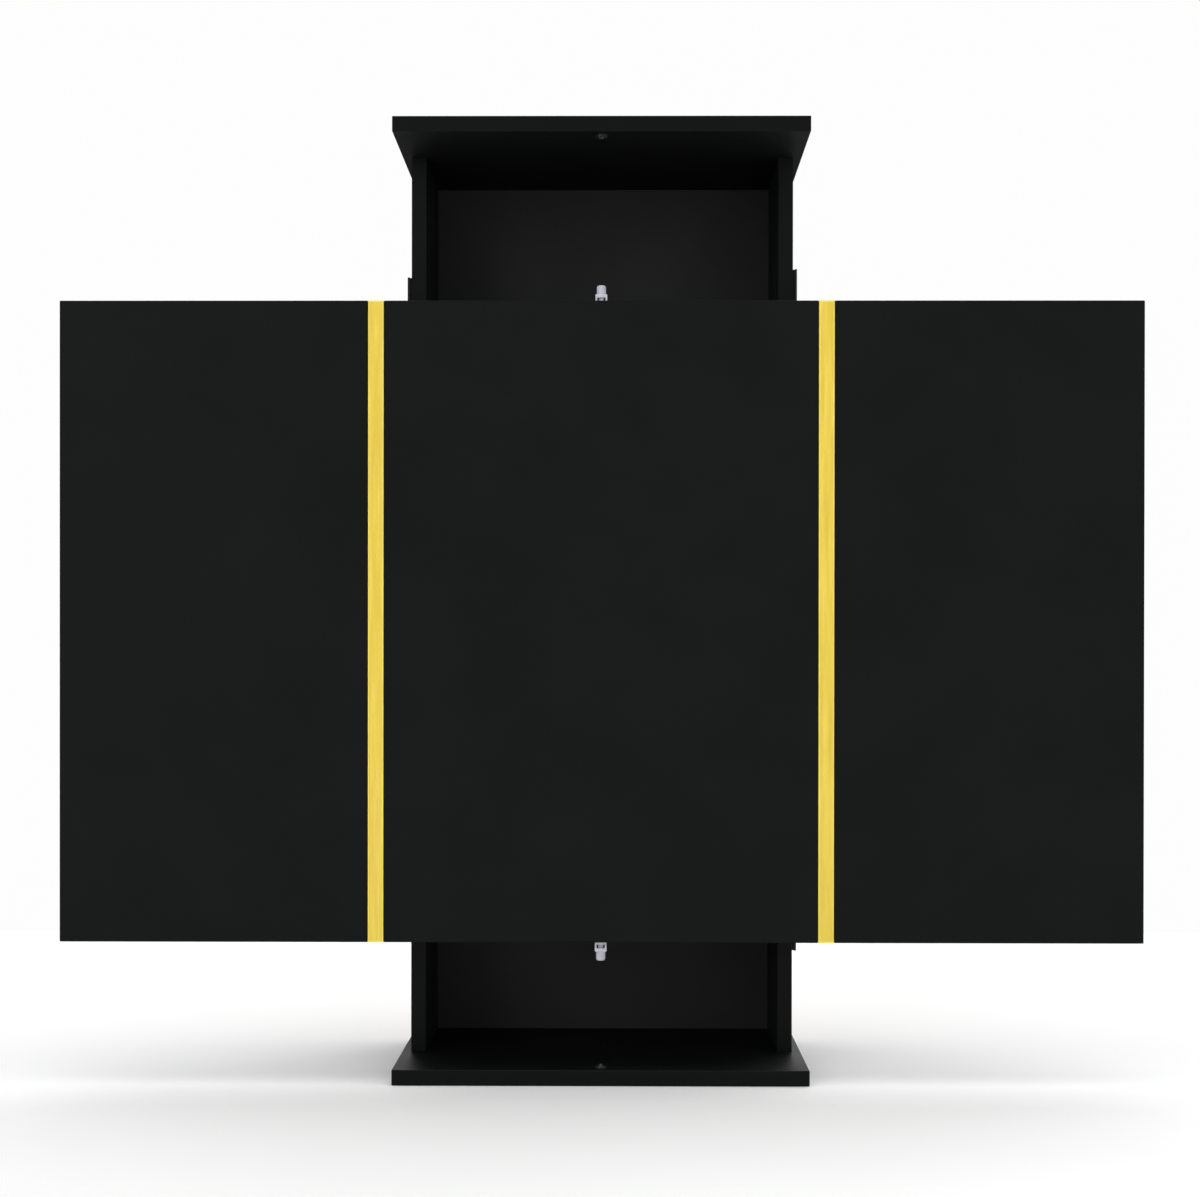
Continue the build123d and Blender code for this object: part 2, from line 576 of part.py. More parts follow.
with BuildPart() as cheek_dowels:
    for z in CHEEK_DOWEL_Z:
        with Locations((-245.0, PANEL_BACK + 2.5, z), (245.0, PANEL_BACK + 2.5, z)):
            Cylinder(THIN_DOWEL_R, 25.0, rotation=(90, 0, 0))
    chamfer(cheek_dowels.edges().filter_by(GeomType.CIRCLE), 0.5)

# -------------------------------------------------------- corner brackets
with BuildPart() as corner_brackets:
    for z in BRACKET_Z:
        with BuildSketch(Plane.XY.offset(z - 10.0)):
            with BuildLine():
                Polyline(
                    (CHEEK_IN - BRACKET_LEG, PANEL_BACK),
                    (CHEEK_IN, PANEL_BACK),
                    (CHEEK_IN, PANEL_BACK + BRACKET_LEG),
                    (CHEEK_IN - BRACKET_T, PANEL_BACK + BRACKET_LEG),
                    (CHEEK_IN - BRACKET_T, PANEL_BACK + BRACKET_T),
                    (CHEEK_IN - BRACKET_LEG, PANEL_BACK + BRACKET_T),
                    close=True,
                )
            make_face()
        extrude(amount=20.0)
    with BuildSketch(Plane.XZ.offset(-PANEL_BACK)):
        with Locations(*[(BRACKET_PANEL_X, z) for z in BRACKET_Z]):
            Circle(2.1)
    extrude(amount=-BRACKET_T, mode=Mode.SUBTRACT)
    with BuildSketch(Plane(origin=(CHEEK_IN, 0, 0), x_dir=(0, 1, 0), z_dir=(1, 0, 0))):
        with Locations(*[(BRACKET_CHEEK_Y, z) for z in BRACKET_Z]):
            Circle(2.1)
    extrude(amount=-BRACKET_T, mode=Mode.SUBTRACT)
    mirror(about=Plane.YZ)

with BuildPart() as bracket_screws:
    for z in BRACKET_Z:
        for sx in (-1, 1):
            with Locations(
                Plane(origin=(sx * BRACKET_PANEL_X, PANEL_BACK + BRACKET_T, z), x_dir=(1, 0, 0), z_dir=(0, 1, 0))
            ):
                add(bracket_screw.part)
            with Locations(
                Plane(
                    origin=(sx * (CHEEK_IN - BRACKET_T), BRACKET_CHEEK_Y, z), x_dir=(0, 1, 0), z_dir=(-sx, 0, 0)
                )
            ):
                add(bracket_screw.part)

# -------------------------------------------------------------------- glides
with BuildPart() as right_glides:
    for z in GLIDE_Z:
        with BuildSketch(Plane.XY.offset(z - GLIDE_HALF_Z)):
            with BuildLine():
                Polyline(
                    (GLIDE_BACK, RAIL_Y - GLIDE_HALF_Y),
                    (GLIDE_BACK, RAIL_Y + GLIDE_HALF_Y),
                    (RAIL_WEB[0] + 0.4, RAIL_Y + GLIDE_HALF_Y),
                    (RAIL_WEB[0] + 0.4, RAIL_Y + RAIL_WEB_HALF + GLIDE_GAP),
                    (RAIL_FLANGE[0] - GLIDE_GAP, RAIL_Y + RAIL_WEB_HALF + GLIDE_GAP),
                    (RAIL_FLANGE[0] - GLIDE_GAP, RAIL_Y + RAIL_FLANGE_HALF + GLIDE_GAP),
                    (GLIDE_FACE, RAIL_Y + RAIL_FLANGE_HALF + GLIDE_GAP),
                    (GLIDE_FACE, RAIL_Y - RAIL_FLANGE_HALF - GLIDE_GAP),
                    (RAIL_FLANGE[0] - GLIDE_GAP, RAIL_Y - RAIL_FLANGE_HALF - GLIDE_GAP),
                    (RAIL_FLANGE[0] - GLIDE_GAP, RAIL_Y - RAIL_WEB_HALF - GLIDE_GAP),
                    (RAIL_WEB[0] + 0.4, RAIL_Y - RAIL_WEB_HALF - GLIDE_GAP),
                    (RAIL_WEB[0] + 0.4, RAIL_Y - GLIDE_HALF_Y),
                    close=True,
                )
            make_face()
        extrude(amount=2 * GLIDE_HALF_Z)
    for z in GLIDE_Z:
        for dz in (-14, 14):
            with Locations(
                Plane(origin=(GLIDE_FACE + 0.3, RAIL_Y, z + dz), x_dir=(0, 1, 0), z_dir=(-1, 0, 0))
            ):
                CounterSinkHole(radius=1.7, counter_sink_radius=3.35, depth=8.0, counter_sink_angle=90)
    with BuildSketch(Plane(origin=(GLIDE_FACE, 0, 0), x_dir=(0, 1, 0), z_dir=(1, 0, 0))):
        for z in GLIDE_Z:
            with Locations((RAIL_Y, z - 14), (RAIL_Y, z + 14)):
                Circle(3.35)
    extrude(amount=0.3, mode=Mode.SUBTRACT)

with BuildPart() as left_glides:
    mirror(right_glides.part, about=Plane.YZ)

with BuildPart() as glide_screws:
    for sx in (-1, 1):
        for z in GLIDE_Z:
            for dz in (-14, 14):
                with Locations(
                    Plane(
                        origin=(sx * (GLIDE_FACE + 0.3), RAIL_Y, z + dz), x_dir=(0, 1, 0), z_dir=(-sx, 0, 0)
                    )
                ):
                    add(glide_screw.part)

# ---------------------------------------------------------- friction brake
with BuildPart() as brake_pads:
    for sx in (-1, 1):
        with Locations((sx * (BRAKE_PAD[0] + BRAKE_PAD[1]) / 2, RAIL_Y, BRAKE_Z)):
            Box(BRAKE_PAD[1] - BRAKE_PAD[0], BRAKE_PAD_Y, BRAKE_PAD_Z)

with BuildPart() as brake_set_screws:
    for sx in (-1, 1):
        with Locations(Plane(origin=(sx * BRAKE_PAD[1], RAIL_Y, BRAKE_Z), x_dir=(0, 1, 0), z_dir=(sx, 0, 0))):
            Cylinder(BRAKE_SCREW_R, 7.8, align=(Align.CENTER, Align.CENTER, Align.MIN))
        with Locations(
            Plane(origin=(sx * (BRAKE_PAD[1] + 7.8), RAIL_Y, BRAKE_Z), x_dir=(0, 1, 0), z_dir=(sx, 0, 0))
        ):
            Box(4.4, 0.9, 1.4, align=(Align.CENTER, Align.CENTER, Align.MAX), mode=Mode.SUBTRACT)

# ------------------------------------------------------------- wing buffers
with BuildPart() as wing_buffers:
    for sx in (-1, 1):
        for z in BUFFER_Z:
            with Locations(Plane(origin=(sx * CHEEK_OUT, BUFFER_Y, z), x_dir=(0, 1, 0), z_dir=(sx, 0, 0))):
                Cone(BUFFER_R, BUFFER_R - 1.6, BUFFER_H, align=(Align.CENTER, Align.CENTER, Align.MIN))
                Cylinder(3.0, 7.0, align=(Align.CENTER, Align.CENTER, Align.MAX))

# ------------------------------------------------------- hinge cheek leaves
LEAF_HIGH = HINGE_LOW + KNUCKLES * KNUCKLE_PITCH
with BuildPart() as right_hinge_cheek_leaf:
    with BuildSketch(Plane.XY.offset(HINGE_LOW)):
        with Locations((CHEEK_OUT + LEAF_T / 2, (HINGE_Y + LEAF_CLEAR + CHEEK_LEAF_REAR) / 2)):
            Rectangle(LEAF_T, CHEEK_LEAF_REAR - HINGE_Y - LEAF_CLEAR)
    extrude(amount=LEAF_HIGH - HINGE_LOW)
    for k in range(0, KNUCKLES, 2):
        with BuildSketch(Plane.XY.offset(HINGE_LOW + k * KNUCKLE_PITCH + KNUCKLE_GAP)):
            with Locations((HINGE_X, HINGE_Y)):
                Circle(KNUCKLE_R)
            with Locations((CHEEK_OUT + LEAF_T / 2, HINGE_Y + 1.6)):
                Rectangle(LEAF_T, 3.2)
            with Locations((CHEEK_OUT + 1.25, HINGE_Y + 0.6)):
                Rectangle(2.0, 1.2)
        extrude(amount=KNUCKLE_PITCH - 2 * KNUCKLE_GAP)
    with BuildSketch(Plane.XY.offset(HINGE_LOW)):
        with Locations((HINGE_X, HINGE_Y)):
            Circle(PIN_BORE_R)
    extrude(amount=LEAF_HIGH - HINGE_LOW, mode=Mode.SUBTRACT)
    with BuildSketch(Plane(origin=(CHEEK_OUT, 0, 0), x_dir=(0, 1, 0), z_dir=(1, 0, 0))):
        with Locations(*[(CHEEK_LEAF_SCREW_Y, z) for z in CHEEK_HINGE_SCREW_Z]):
            Circle(1.7)
    extrude(amount=LEAF_T, mode=Mode.SUBTRACT)

with BuildPart() as left_hinge_cheek_leaf:
    mirror(right_hinge_cheek_leaf.part, about=Plane.YZ)

with BuildPart() as right_hinge_pin:
    with BuildSketch(Plane.XY.offset(HINGE_LOW - 0.3)):
        with Locations((HINGE_X, HINGE_Y)):
            Circle(PIN_R)
    extrude(amount=LEAF_HIGH - HINGE_LOW + 0.6)
    with Locations((HINGE_X, HINGE_Y, HINGE_LOW - 0.3)):
        Cylinder(2.2, 1.0, align=(Align.CENTER, Align.CENTER, Align.MAX))
    with Locations((HINGE_X, HINGE_Y, LEAF_HIGH + 0.3)):
        Cylinder(2.2, 1.0, align=(Align.CENTER, Align.CENTER, Align.MIN))

with BuildPart() as left_hinge_pin:
    mirror(right_hinge_pin.part, about=Plane.YZ)

with BuildPart() as cheek_hinge_screws:
    for sx in (-1, 1):
        for z in CHEEK_HINGE_SCREW_Z:
            with Locations(
                Plane(origin=(sx * (CHEEK_OUT + LEAF_T), CHEEK_LEAF_SCREW_Y, z), x_dir=(0, 1, 0), z_dir=(sx, 0, 0))
            ):
                add(hinge_screw.part)

# -------------------------------------------------------------- push latches
# Template of one housing: mouth at z = 0, nose side up, standing on y = 0.
with BuildPart() as latch_housing:
    with BuildSketch(Plane.XY.offset(-LATCH_L)):
        with Locations((0, LATCH_D / 2)):
            Rectangle(LATCH_W, LATCH_D)
    extrude(amount=LATCH_L)
    fillet(latch_housing.edges().filter_by(Axis.Z).group_by(Axis.Y)[-1], 2.0)
    chamfer(latch_housing.faces().sort_by(Axis.Z)[-1].edges(), 0.5)
    # fixing flange
    with BuildSketch(Plane.XY.offset(-60.0)):
        with Locations((0, 1.5)):
            Rectangle(32.0, 3.0)
    extrude(amount=42.0)
    # nose and spring chamber, ledge hole, open rear chamber
    with BuildSketch(Plane.XY):
        with Locations((0, LATCH_D / 2)):
            Circle(NOSE_BORE_R)
    extrude(amount=LEDGE_TOP, mode=Mode.SUBTRACT)
    with BuildSketch(Plane.XY):
        with Locations((0, LATCH_D / 2)):
            Circle(STEM_R + 0.1)
    extrude(amount=LEDGE_BOTTOM, mode=Mode.SUBTRACT)
    with BuildSketch(Plane.XY.offset(LEDGE_BOTTOM)):
        with Locations((0, LATCH_D / 2)):
            Circle(4.6)
    extrude(amount=-(LATCH_L + LEDGE_BOTTOM), mode=Mode.SUBTRACT)
    # window through the front wall
    with BuildSketch(Plane.XZ):
        with Locations((0, (WINDOW_Z[0] + WINDOW_Z[1]) / 2)):
            Rectangle(WINDOW_W, WINDOW_Z[0] - WINDOW_Z[1])
    extrude(amount=-LATCH_D / 2, mode=Mode.SUBTRACT)
    # screw holes in the flange
    with BuildSketch(Plane.XZ):
        with Locations(*LATCH_SCREWS):
            Circle(1.65)
    extrude(amount=-3.0, mode=Mode.SUBTRACT)

# Template of one plunger: fluted nose with a bevelled tip, flat neck behind
# the window, spring flange, stem and retaining ring.
with BuildPart() as latch_plunger:
    with BuildSketch(Plane.YZ):
        with BuildLine():
            Polyline(
                (0, NOSE_OUT), (3.5, NOSE_OUT), (4.6, NOSE_OUT - 0.6), (NOSE_R, NOSE_OUT - 2.1),
                (NOSE_R, -NOSE_IN), (STEM_R, -NOSE_IN), (STEM_R, STEM_FLANGE[0]), (5.2, STEM_FLANGE[0]),
                (5.2, STEM_FLANGE[1]), (STEM_R, STEM_FLANGE[1]), (STEM_R, -38.3), (4.2, -38.3),
                (4.2, -39.5), (STEM_R, -39.5), (STEM_R, -51.0), (0, -51.0), (0, NOSE_OUT),
            )
        make_face()
    revolve(axis=Axis.Z)
    # flat-sided neck behind the window
    with BuildSketch(Plane.XY.offset(STEM_FLANGE[0])):
        Rectangle(NECK_W, NECK_D)
    extrude(amount=-NOSE_IN - STEM_FLANGE[0])
    # shallow flutes along the nose
    with BuildSketch(Plane.XY.offset(0.9)):
        with PolarLocations(NOSE_R + 0.12, NOSE_FLUTES):
            Circle(0.42)
    extrude(amount=NOSE_OUT - 2.1 - 0.9, mode=Mode.SUBTRACT)

# Template of one spring: wire coil between the ledge and the stem's flange.
SPRING_LOW = LEDGE_TOP + SPRING_WIRE_R + 0.1
SPRING_HIGH = STEM_FLANGE[1] - SPRING_WIRE_R - 0.1
with BuildPart() as latch_spring:
    with BuildLine() as coil:
        Helix(
            pitch=(SPRING_HIGH - SPRING_LOW) / SPRING_TURNS,
            height=SPRING_HIGH - SPRING_LOW,
            radius=SPRING_R,
            center=(0, 0, SPRING_LOW),
        )
    with BuildSketch(Plane(origin=coil.line @ 0, z_dir=coil.line % 0)):
        Circle(SPRING_WIRE_R)
    sweep(path=coil.line, is_frenet=True)

UP = Plane(origin=(0, PANEL_BACK, LATCH_MOUTH_UP))
UP_AXIS = Plane(origin=(0, LATCH_Y, LATCH_MOUTH_UP))
# The lower latch is the same latch turned half a turn about Y.
DOWN = Plane(origin=(0, PANEL_BACK, LATCH_MOUTH_DOWN), x_dir=(-1, 0, 0), z_dir=(0, 0, -1))
DOWN_AXIS = Plane(origin=(0, LATCH_Y, LATCH_MOUTH_DOWN), x_dir=(-1, 0, 0), z_dir=(0, 0, -1))

with BuildPart() as upper_latch_housing:
    with Locations(UP):
        add(latch_housing.part)

with BuildPart() as lower_latch_housing:
    with Locations(DOWN):
        add(latch_housing.part)

with BuildPart() as upper_latch_plunger:
    with Locations(UP_AXIS):
        add(latch_plunger.part)

with BuildPart() as lower_latch_plunger:
    with Locations(DOWN_AXIS):
        add(latch_plunger.part)

with BuildPart() as upper_latch_spring:
    with Locations(UP_AXIS):
        add(latch_spring.part)

with BuildPart() as lower_latch_spring:
    with Locations(DOWN_AXIS):
        add(latch_spring.part)

with BuildPart() as latch_screws:
    for x, z in LATCH_SCREWS:
        for zz in (LATCH_MOUTH_UP + z, LATCH_MOUTH_DOWN - z):
            with Locations(Plane(origin=(x, PANEL_BACK + 3.0, zz), x_dir=(1, 0, 0), z_dir=(0, 1, 0))):
                add(latch_screw.part)


# ==================================================================== wings
with BuildPart() as right_hinge_stile:
    with BuildSketch(Plane.XY.offset(PANEL_LOW)):
        with Locations(((STILE_IN + STILE_OUT) / 2, (FRONT + PANEL_BACK) / 2)):
            Rectangle(STILE_OUT - STILE_IN, BOARD)
    extrude(amount=PANEL_HIGH - PANEL_LOW)
    fillet(right_hinge_stile.edges().filter_by(Axis.Z).group_by(Axis.Y)[0], STILE_ROUND)
    chamfer(right_hinge_stile.edges().filter_by(Axis.Z).group_by(Axis.Y)[-1], 0.5)
    with BuildSketch(Plane(origin=(STILE_OUT, 0, 0), x_dir=(0, 1, 0), z_dir=(1, 0, 0))):
        with Locations(*[(PANEL_BACK - BOARD / 2, z) for z in STILE_DOWEL_Z]):
            Circle(THIN_DOWEL_R + 0.05)
    extrude(amount=-12.2, mode=Mode.SUBTRACT)
    with BuildSketch(Plane.XZ.offset(-PANEL_BACK)):
        with Locations(*[(WING_LEAF_SCREW_X, z) for z in WING_HINGE_SCREW_Z]):
            Circle(1.55)
    extrude(amount=8.9, mode=Mode.SUBTRACT)

with BuildPart() as left_hinge_stile:
    mirror(right_hinge_stile.part, about=Plane.YZ)

with BuildPart() as right_wing_panel:
    with BuildSketch(Plane.XY.offset(PANEL_LOW)):
        with Locations(((STILE_OUT + WING_OUT) / 2, (FRONT + PANEL_BACK) / 2)):
            Rectangle(WING_OUT - STILE_OUT, BOARD)
    extrude(amount=PANEL_HIGH - PANEL_LOW)
    chamfer(right_wing_panel.edges(), EDGE)
    with BuildSketch(Plane(origin=(STILE_OUT, 0, 0), x_dir=(0, 1, 0), z_dir=(1, 0, 0))):
        with Locations(*[(PANEL_BACK - BOARD / 2, z) for z in STILE_DOWEL_Z]):
            Circle(THIN_DOWEL_R + 0.05)
    extrude(amount=18.2, mode=Mode.SUBTRACT)

with BuildPart() as left_wing_panel:
    mirror(right_wing_panel.part, about=Plane.YZ)

with BuildPart() as right_stile_dowels:
    for z in STILE_DOWEL_Z:
        with Locations((STILE_OUT + 3.0, PANEL_BACK - BOARD / 2, z)):
            Cylinder(THIN_DOWEL_R, 30.0, rotation=(0, 90, 0))
    chamfer(right_stile_dowels.edges().filter_by(GeomType.CIRCLE), 0.5)

with BuildPart() as left_stile_dowels:
    mirror(right_stile_dowels.part, about=Plane.YZ)

with BuildPart() as right_hinge_wing_leaf:
    with BuildSketch(Plane.XY.offset(HINGE_LOW)):
        with Locations(((HINGE_X + LEAF_CLEAR + WING_LEAF_EDGE) / 2, PANEL_BACK + LEAF_T / 2)):
            Rectangle(WING_LEAF_EDGE - HINGE_X - LEAF_CLEAR, LEAF_T)
    extrude(amount=LEAF_HIGH - HINGE_LOW)
    for k in range(1, KNUCKLES, 2):
        with BuildSketch(Plane.XY.offset(HINGE_LOW + k * KNUCKLE_PITCH + KNUCKLE_GAP)):
            with Locations((HINGE_X, HINGE_Y)):
                Circle(KNUCKLE_R)
            with Locations((HINGE_X + 1.6, PANEL_BACK + LEAF_T / 2)):
                Rectangle(3.2, LEAF_T)
            with Locations((HINGE_X + 0.6, PANEL_BACK + 1.25)):
                Rectangle(1.2, 2.0)
        extrude(amount=KNUCKLE_PITCH - 2 * KNUCKLE_GAP)
    with BuildSketch(Plane.XY.offset(HINGE_LOW)):
        with Locations((HINGE_X, HINGE_Y)):
            Circle(PIN_BORE_R)
    extrude(amount=LEAF_HIGH - HINGE_LOW, mode=Mode.SUBTRACT)
    with BuildSketch(Plane.XZ.offset(-PANEL_BACK)):
        with Locations(*[(WING_LEAF_SCREW_X, z) for z in WING_HINGE_SCREW_Z]):
            Circle(1.7)
    extrude(amount=-LEAF_T, mode=Mode.SUBTRACT)

with BuildPart() as left_hinge_wing_leaf:
    mirror(right_hinge_wing_leaf.part, about=Plane.YZ)

with BuildPart() as right_wing_hinge_screws:
    for z in WING_HINGE_SCREW_Z:
        with Locations(
            Plane(origin=(WING_LEAF_SCREW_X, PANEL_BACK + LEAF_T, z), x_dir=(1, 0, 0), z_dir=(0, 1, 0))
        ):
            add(hinge_screw.part)

with BuildPart() as left_wing_hinge_screws:
    mirror(right_wing_hinge_screws.part, about=Plane.YZ)


# ==================================================================== export
NODES = {
    "top_cap": top_cap,
    "bottom_cap": bottom_cap,
    "left_side": left_side,
    "right_side": right_side,
    "back_panel": back_panel,
    "upper_hanging_rail": upper_hanging_rail,
    "lower_hanging_rail": lower_hanging_rail,
    "cap_screws": cap_screws,
    "cap_screw_covers": cap_screw_covers,
    "cap_dowels": cap_dowels,
    "hanging_rail_dowels": hanging_rail_dowels,
    "back_panel_screws": back_panel_screws,
    "left_slide_rail": left_slide_rail,
    "right_slide_rail": right_slide_rail,
    "slide_rail_screws": slide_rail_screws,
    "upper_strike_plate": upper_strike,
    "lower_strike_plate": lower_strike,
    "strike_screws": strike_screws,
    "centre_panel": centre_panel,
    "left_cheek": left_cheek,
    "right_cheek": right_cheek,
    "cheek_dowels": cheek_dowels,
    "corner_brackets": corner_brackets,
    "bracket_screws": bracket_screws,
    "left_glides": left_glides,
    "right_glides": right_glides,
    "glide_screws": glide_screws,
    "brake_pads": brake_pads,
    "brake_set_screws": brake_set_screws,
    "wing_buffers": wing_buffers,
    "left_hinge_cheek_leaf": left_hinge_cheek_leaf,
    "right_hinge_cheek_leaf": right_hinge_cheek_leaf,
    "left_hinge_pin": left_hinge_pin,
    "right_hinge_pin": right_hinge_pin,
    "cheek_hinge_screws": cheek_hinge_screws,
    "upper_latch_housing": upper_latch_housing,
    "lower_latch_housing": lower_latch_housing,
    "upper_latch_spring": upper_latch_spring,
    "lower_latch_spring": lower_latch_spring,
    "latch_screws": latch_screws,
    "upper_latch_plunger": upper_latch_plunger,
    "lower_latch_plunger": lower_latch_plunger,
    "left_hinge_stile": left_hinge_stile,
    "right_hinge_stile": right_hinge_stile,
    "left_wing_panel": left_wing_panel,
    "right_wing_panel": right_wing_panel,
    "left_stile_dowels": left_stile_dowels,
    "right_stile_dowels": right_stile_dowels,
    "left_hinge_wing_leaf": left_hinge_wing_leaf,
    "right_hinge_wing_leaf": right_hinge_wing_leaf,
    "left_wing_hinge_screws": left_wing_hinge_screws,
    "right_wing_hinge_screws": right_wing_hinge_screws,
}
for label, piece in NODES.items():
    piece.part.label = label
    export_step(piece.part, f"parts/{label}.step")

# slide travel left free by the strikes
upper_travel = (HEIGHT - BOARD - STRIKE_H - STRIKE_HEAD_H - 0.3) - (LATCH_MOUTH_UP + NOSE_OUT)
lower_travel = (LATCH_MOUTH_DOWN - NOSE_OUT) - (BOARD + STRIKE_H + STRIKE_HEAD_H + 0.3)
print("carriage travel up", round(upper_travel, 2), "down", round(lower_travel, 2))
print("nodes", len(NODES))
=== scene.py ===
import math

import bmesh
import bpy
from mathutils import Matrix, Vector


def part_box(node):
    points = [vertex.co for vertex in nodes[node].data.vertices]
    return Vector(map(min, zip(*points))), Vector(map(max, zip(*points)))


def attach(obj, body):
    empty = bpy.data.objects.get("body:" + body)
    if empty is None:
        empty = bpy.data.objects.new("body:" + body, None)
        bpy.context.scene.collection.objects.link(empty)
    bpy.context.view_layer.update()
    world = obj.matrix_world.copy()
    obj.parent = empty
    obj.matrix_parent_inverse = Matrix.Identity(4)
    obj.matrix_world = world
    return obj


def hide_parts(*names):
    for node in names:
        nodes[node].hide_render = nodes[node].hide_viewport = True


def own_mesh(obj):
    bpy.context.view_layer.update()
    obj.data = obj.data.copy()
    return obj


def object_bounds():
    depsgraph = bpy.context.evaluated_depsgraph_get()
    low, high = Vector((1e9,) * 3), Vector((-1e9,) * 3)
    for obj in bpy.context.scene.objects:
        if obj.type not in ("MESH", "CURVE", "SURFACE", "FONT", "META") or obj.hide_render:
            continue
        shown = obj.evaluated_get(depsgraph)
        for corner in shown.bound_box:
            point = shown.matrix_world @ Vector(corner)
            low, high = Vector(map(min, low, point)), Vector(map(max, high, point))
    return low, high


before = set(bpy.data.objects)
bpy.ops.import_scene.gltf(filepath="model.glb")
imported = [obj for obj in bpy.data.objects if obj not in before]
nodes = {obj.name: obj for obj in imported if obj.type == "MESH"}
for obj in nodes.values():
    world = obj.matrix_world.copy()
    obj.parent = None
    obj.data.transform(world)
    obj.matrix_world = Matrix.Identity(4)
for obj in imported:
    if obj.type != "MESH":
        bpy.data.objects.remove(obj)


def flat_box(b):
    """A bounds result as a plain list of six numbers."""
    out = []
    for corner in b:
        out.extend(float(x) for x in corner)
    return out


cad_box = flat_box(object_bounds())

# ------------------------------------------------------------------ colours


def lin(r, g, b):
    """sRGB 0-255 to the linear values that shaders take."""
    out = []
    for c in (r, g, b):
        c = c / 255.0
        out.append(c / 12.92 if c <= 0.04045 else ((c + 0.055) / 1.055) ** 2.4)
    return (*out, 1.0)


def scaled(colour, k):
    return (*(min(1.0, c * k) for c in colour[:3]), 1.0)


# ------------------------------------------------------------- node helpers


class Shader:
    """A material's node tree, with the few building blocks used below."""

    def __init__(self, name):
        self.mat = bpy.data.materials.new(name)
        self.mat.use_nodes = True
        self.t = self.mat.node_tree
        self.t.nodes.clear()
        self.out = self.t.nodes.new("ShaderNodeOutputMaterial")
        self.bsdf = self.t.nodes.new("ShaderNodeBsdfPrincipled")
        self.t.links.new(self.bsdf.outputs["BSDF"], self.out.inputs["Surface"])
        self.coord = self.t.nodes.new("ShaderNodeTexCoord")
        self.obj = self.coord.outputs["Object"]
        self.nrm = self.coord.outputs["Normal"]

    def set(self, **sockets):
        names = {
            "metallic": "Metallic",
            "roughness": "Roughness",
            "specular": "Specular IOR Level",
            "coat": "Coat Weight",
            "coat_roughness": "Coat Roughness",
            "sheen": "Sheen Weight",
            "sheen_roughness": "Sheen Roughness",
            "subsurface": "Subsurface Weight",
            "ior": "IOR",
        }
        for key, value in sockets.items():
            self.bsdf.inputs[names[key]].default_value = value
        return self

    def node(self, kind, **inputs):
        n = self.t.nodes.new(kind)
        for key, value in inputs.items():
            socket = n.inputs[int(key[1:])] if key[0] == "i" and key[1:].isdigit() else n.inputs[key]
            if isinstance(value, bpy.types.NodeSocket):
                self.t.links.new(value, socket)
            else:
                socket.default_value = value
        return n

    def math(self, op, a, b=0.0, clamp=False):
        n = self.t.nodes.new("ShaderNodeMath")
        n.operation = op
        n.use_clamp = clamp
        for i, v in enumerate((a, b)):
            if isinstance(v, bpy.types.NodeSocket):
                self.t.links.new(v, n.inputs[i])
            else:
                n.inputs[i].default_value = v
        return n.outputs[0]

    def remap(self, value, lo, hi, to_lo=0.0, to_hi=1.0, smooth=True):
        n = self.t.nodes.new("ShaderNodeMapRange")
        n.interpolation_type = "SMOOTHSTEP" if smooth else "LINEAR"
        n.clamp = True
        self.t.links.new(value, n.inputs["Value"])
        n.inputs["From Min"].default_value = lo
        n.inputs["From Max"].default_value = hi
        n.inputs["To Min"].default_value = to_lo
        n.inputs["To Max"].default_value = to_hi
        return n.outputs["Result"]

    def scale(self, vec, x, y, z):
        n = self.t.nodes.new("ShaderNodeMapping")
        self.t.links.new(vec, n.inputs["Vector"])
        n.inputs["Scale"].default_value = (x, y, z)
        return n.outputs["Vector"]

    def noise(self, scale, detail=3.0, rough=0.55, vec=None, distortion=0.0):
        n = self.t.nodes.new("ShaderNodeTexNoise")
        self.t.links.new(vec if vec is not None else self.obj, n.inputs["Vector"])
        n.inputs["Scale"].default_value = scale
        n.inputs["Detail"].default_value = detail
        n.inputs["Roughness"].default_value = rough
        n.inputs["Distortion"].default_value = distortion
        return n.outputs["Fac"]

    def voronoi(self, scale, feature="F1", vec=None, randomness=1.0):
        n = self.t.nodes.new("ShaderNodeTexVoronoi")
        n.feature = feature
        self.t.links.new(vec if vec is not None else self.obj, n.inputs["Vector"])
        n.inputs["Scale"].default_value = scale
        n.inputs["Randomness"].default_value = randomness
        return n

    def mix(self, fac, a, b):
        n = self.t.nodes.new("ShaderNodeMix")
        n.data_type = "RGBA"
        for key, v in ((0, fac), (6, a), (7, b)):
            if isinstance(v, bpy.types.NodeSocket):
                self.t.links.new(v, n.inputs[key])
            else:
                n.inputs[key].default_value = v
        return n.outputs[2]

    def mixf(self, fac, a, b):
        n = self.t.nodes.new("ShaderNodeMix")
        n.data_type = "FLOAT"
        for key, v in ((0, fac), (2, a), (3, b)):
            if isinstance(v, bpy.types.NodeSocket):
                self.t.links.new(v, n.inputs[key])
            else:
                n.inputs[key].default_value = v
        return n.outputs[0]

    def bump(self, height, strength, distance, normal=None):
        n = self.t.nodes.new("ShaderNodeBump")
        n.inputs["Strength"].default_value = strength
        n.inputs["Distance"].default_value = distance
        self.t.links.new(height, n.inputs["Height"])
        if normal is not None:
            self.t.links.new(normal, n.inputs["Normal"])
        return n.outputs["Normal"]

    def xyz(self, vec):
        n = self.t.nodes.new("ShaderNodeSeparateXYZ")
        self.t.links.new(vec, n.inputs[0])
        return n.outputs[0], n.outputs[1], n.outputs[2]

    def link(self, value, socket):
        self.t.links.new(value, self.bsdf.inputs[socket])
        return self

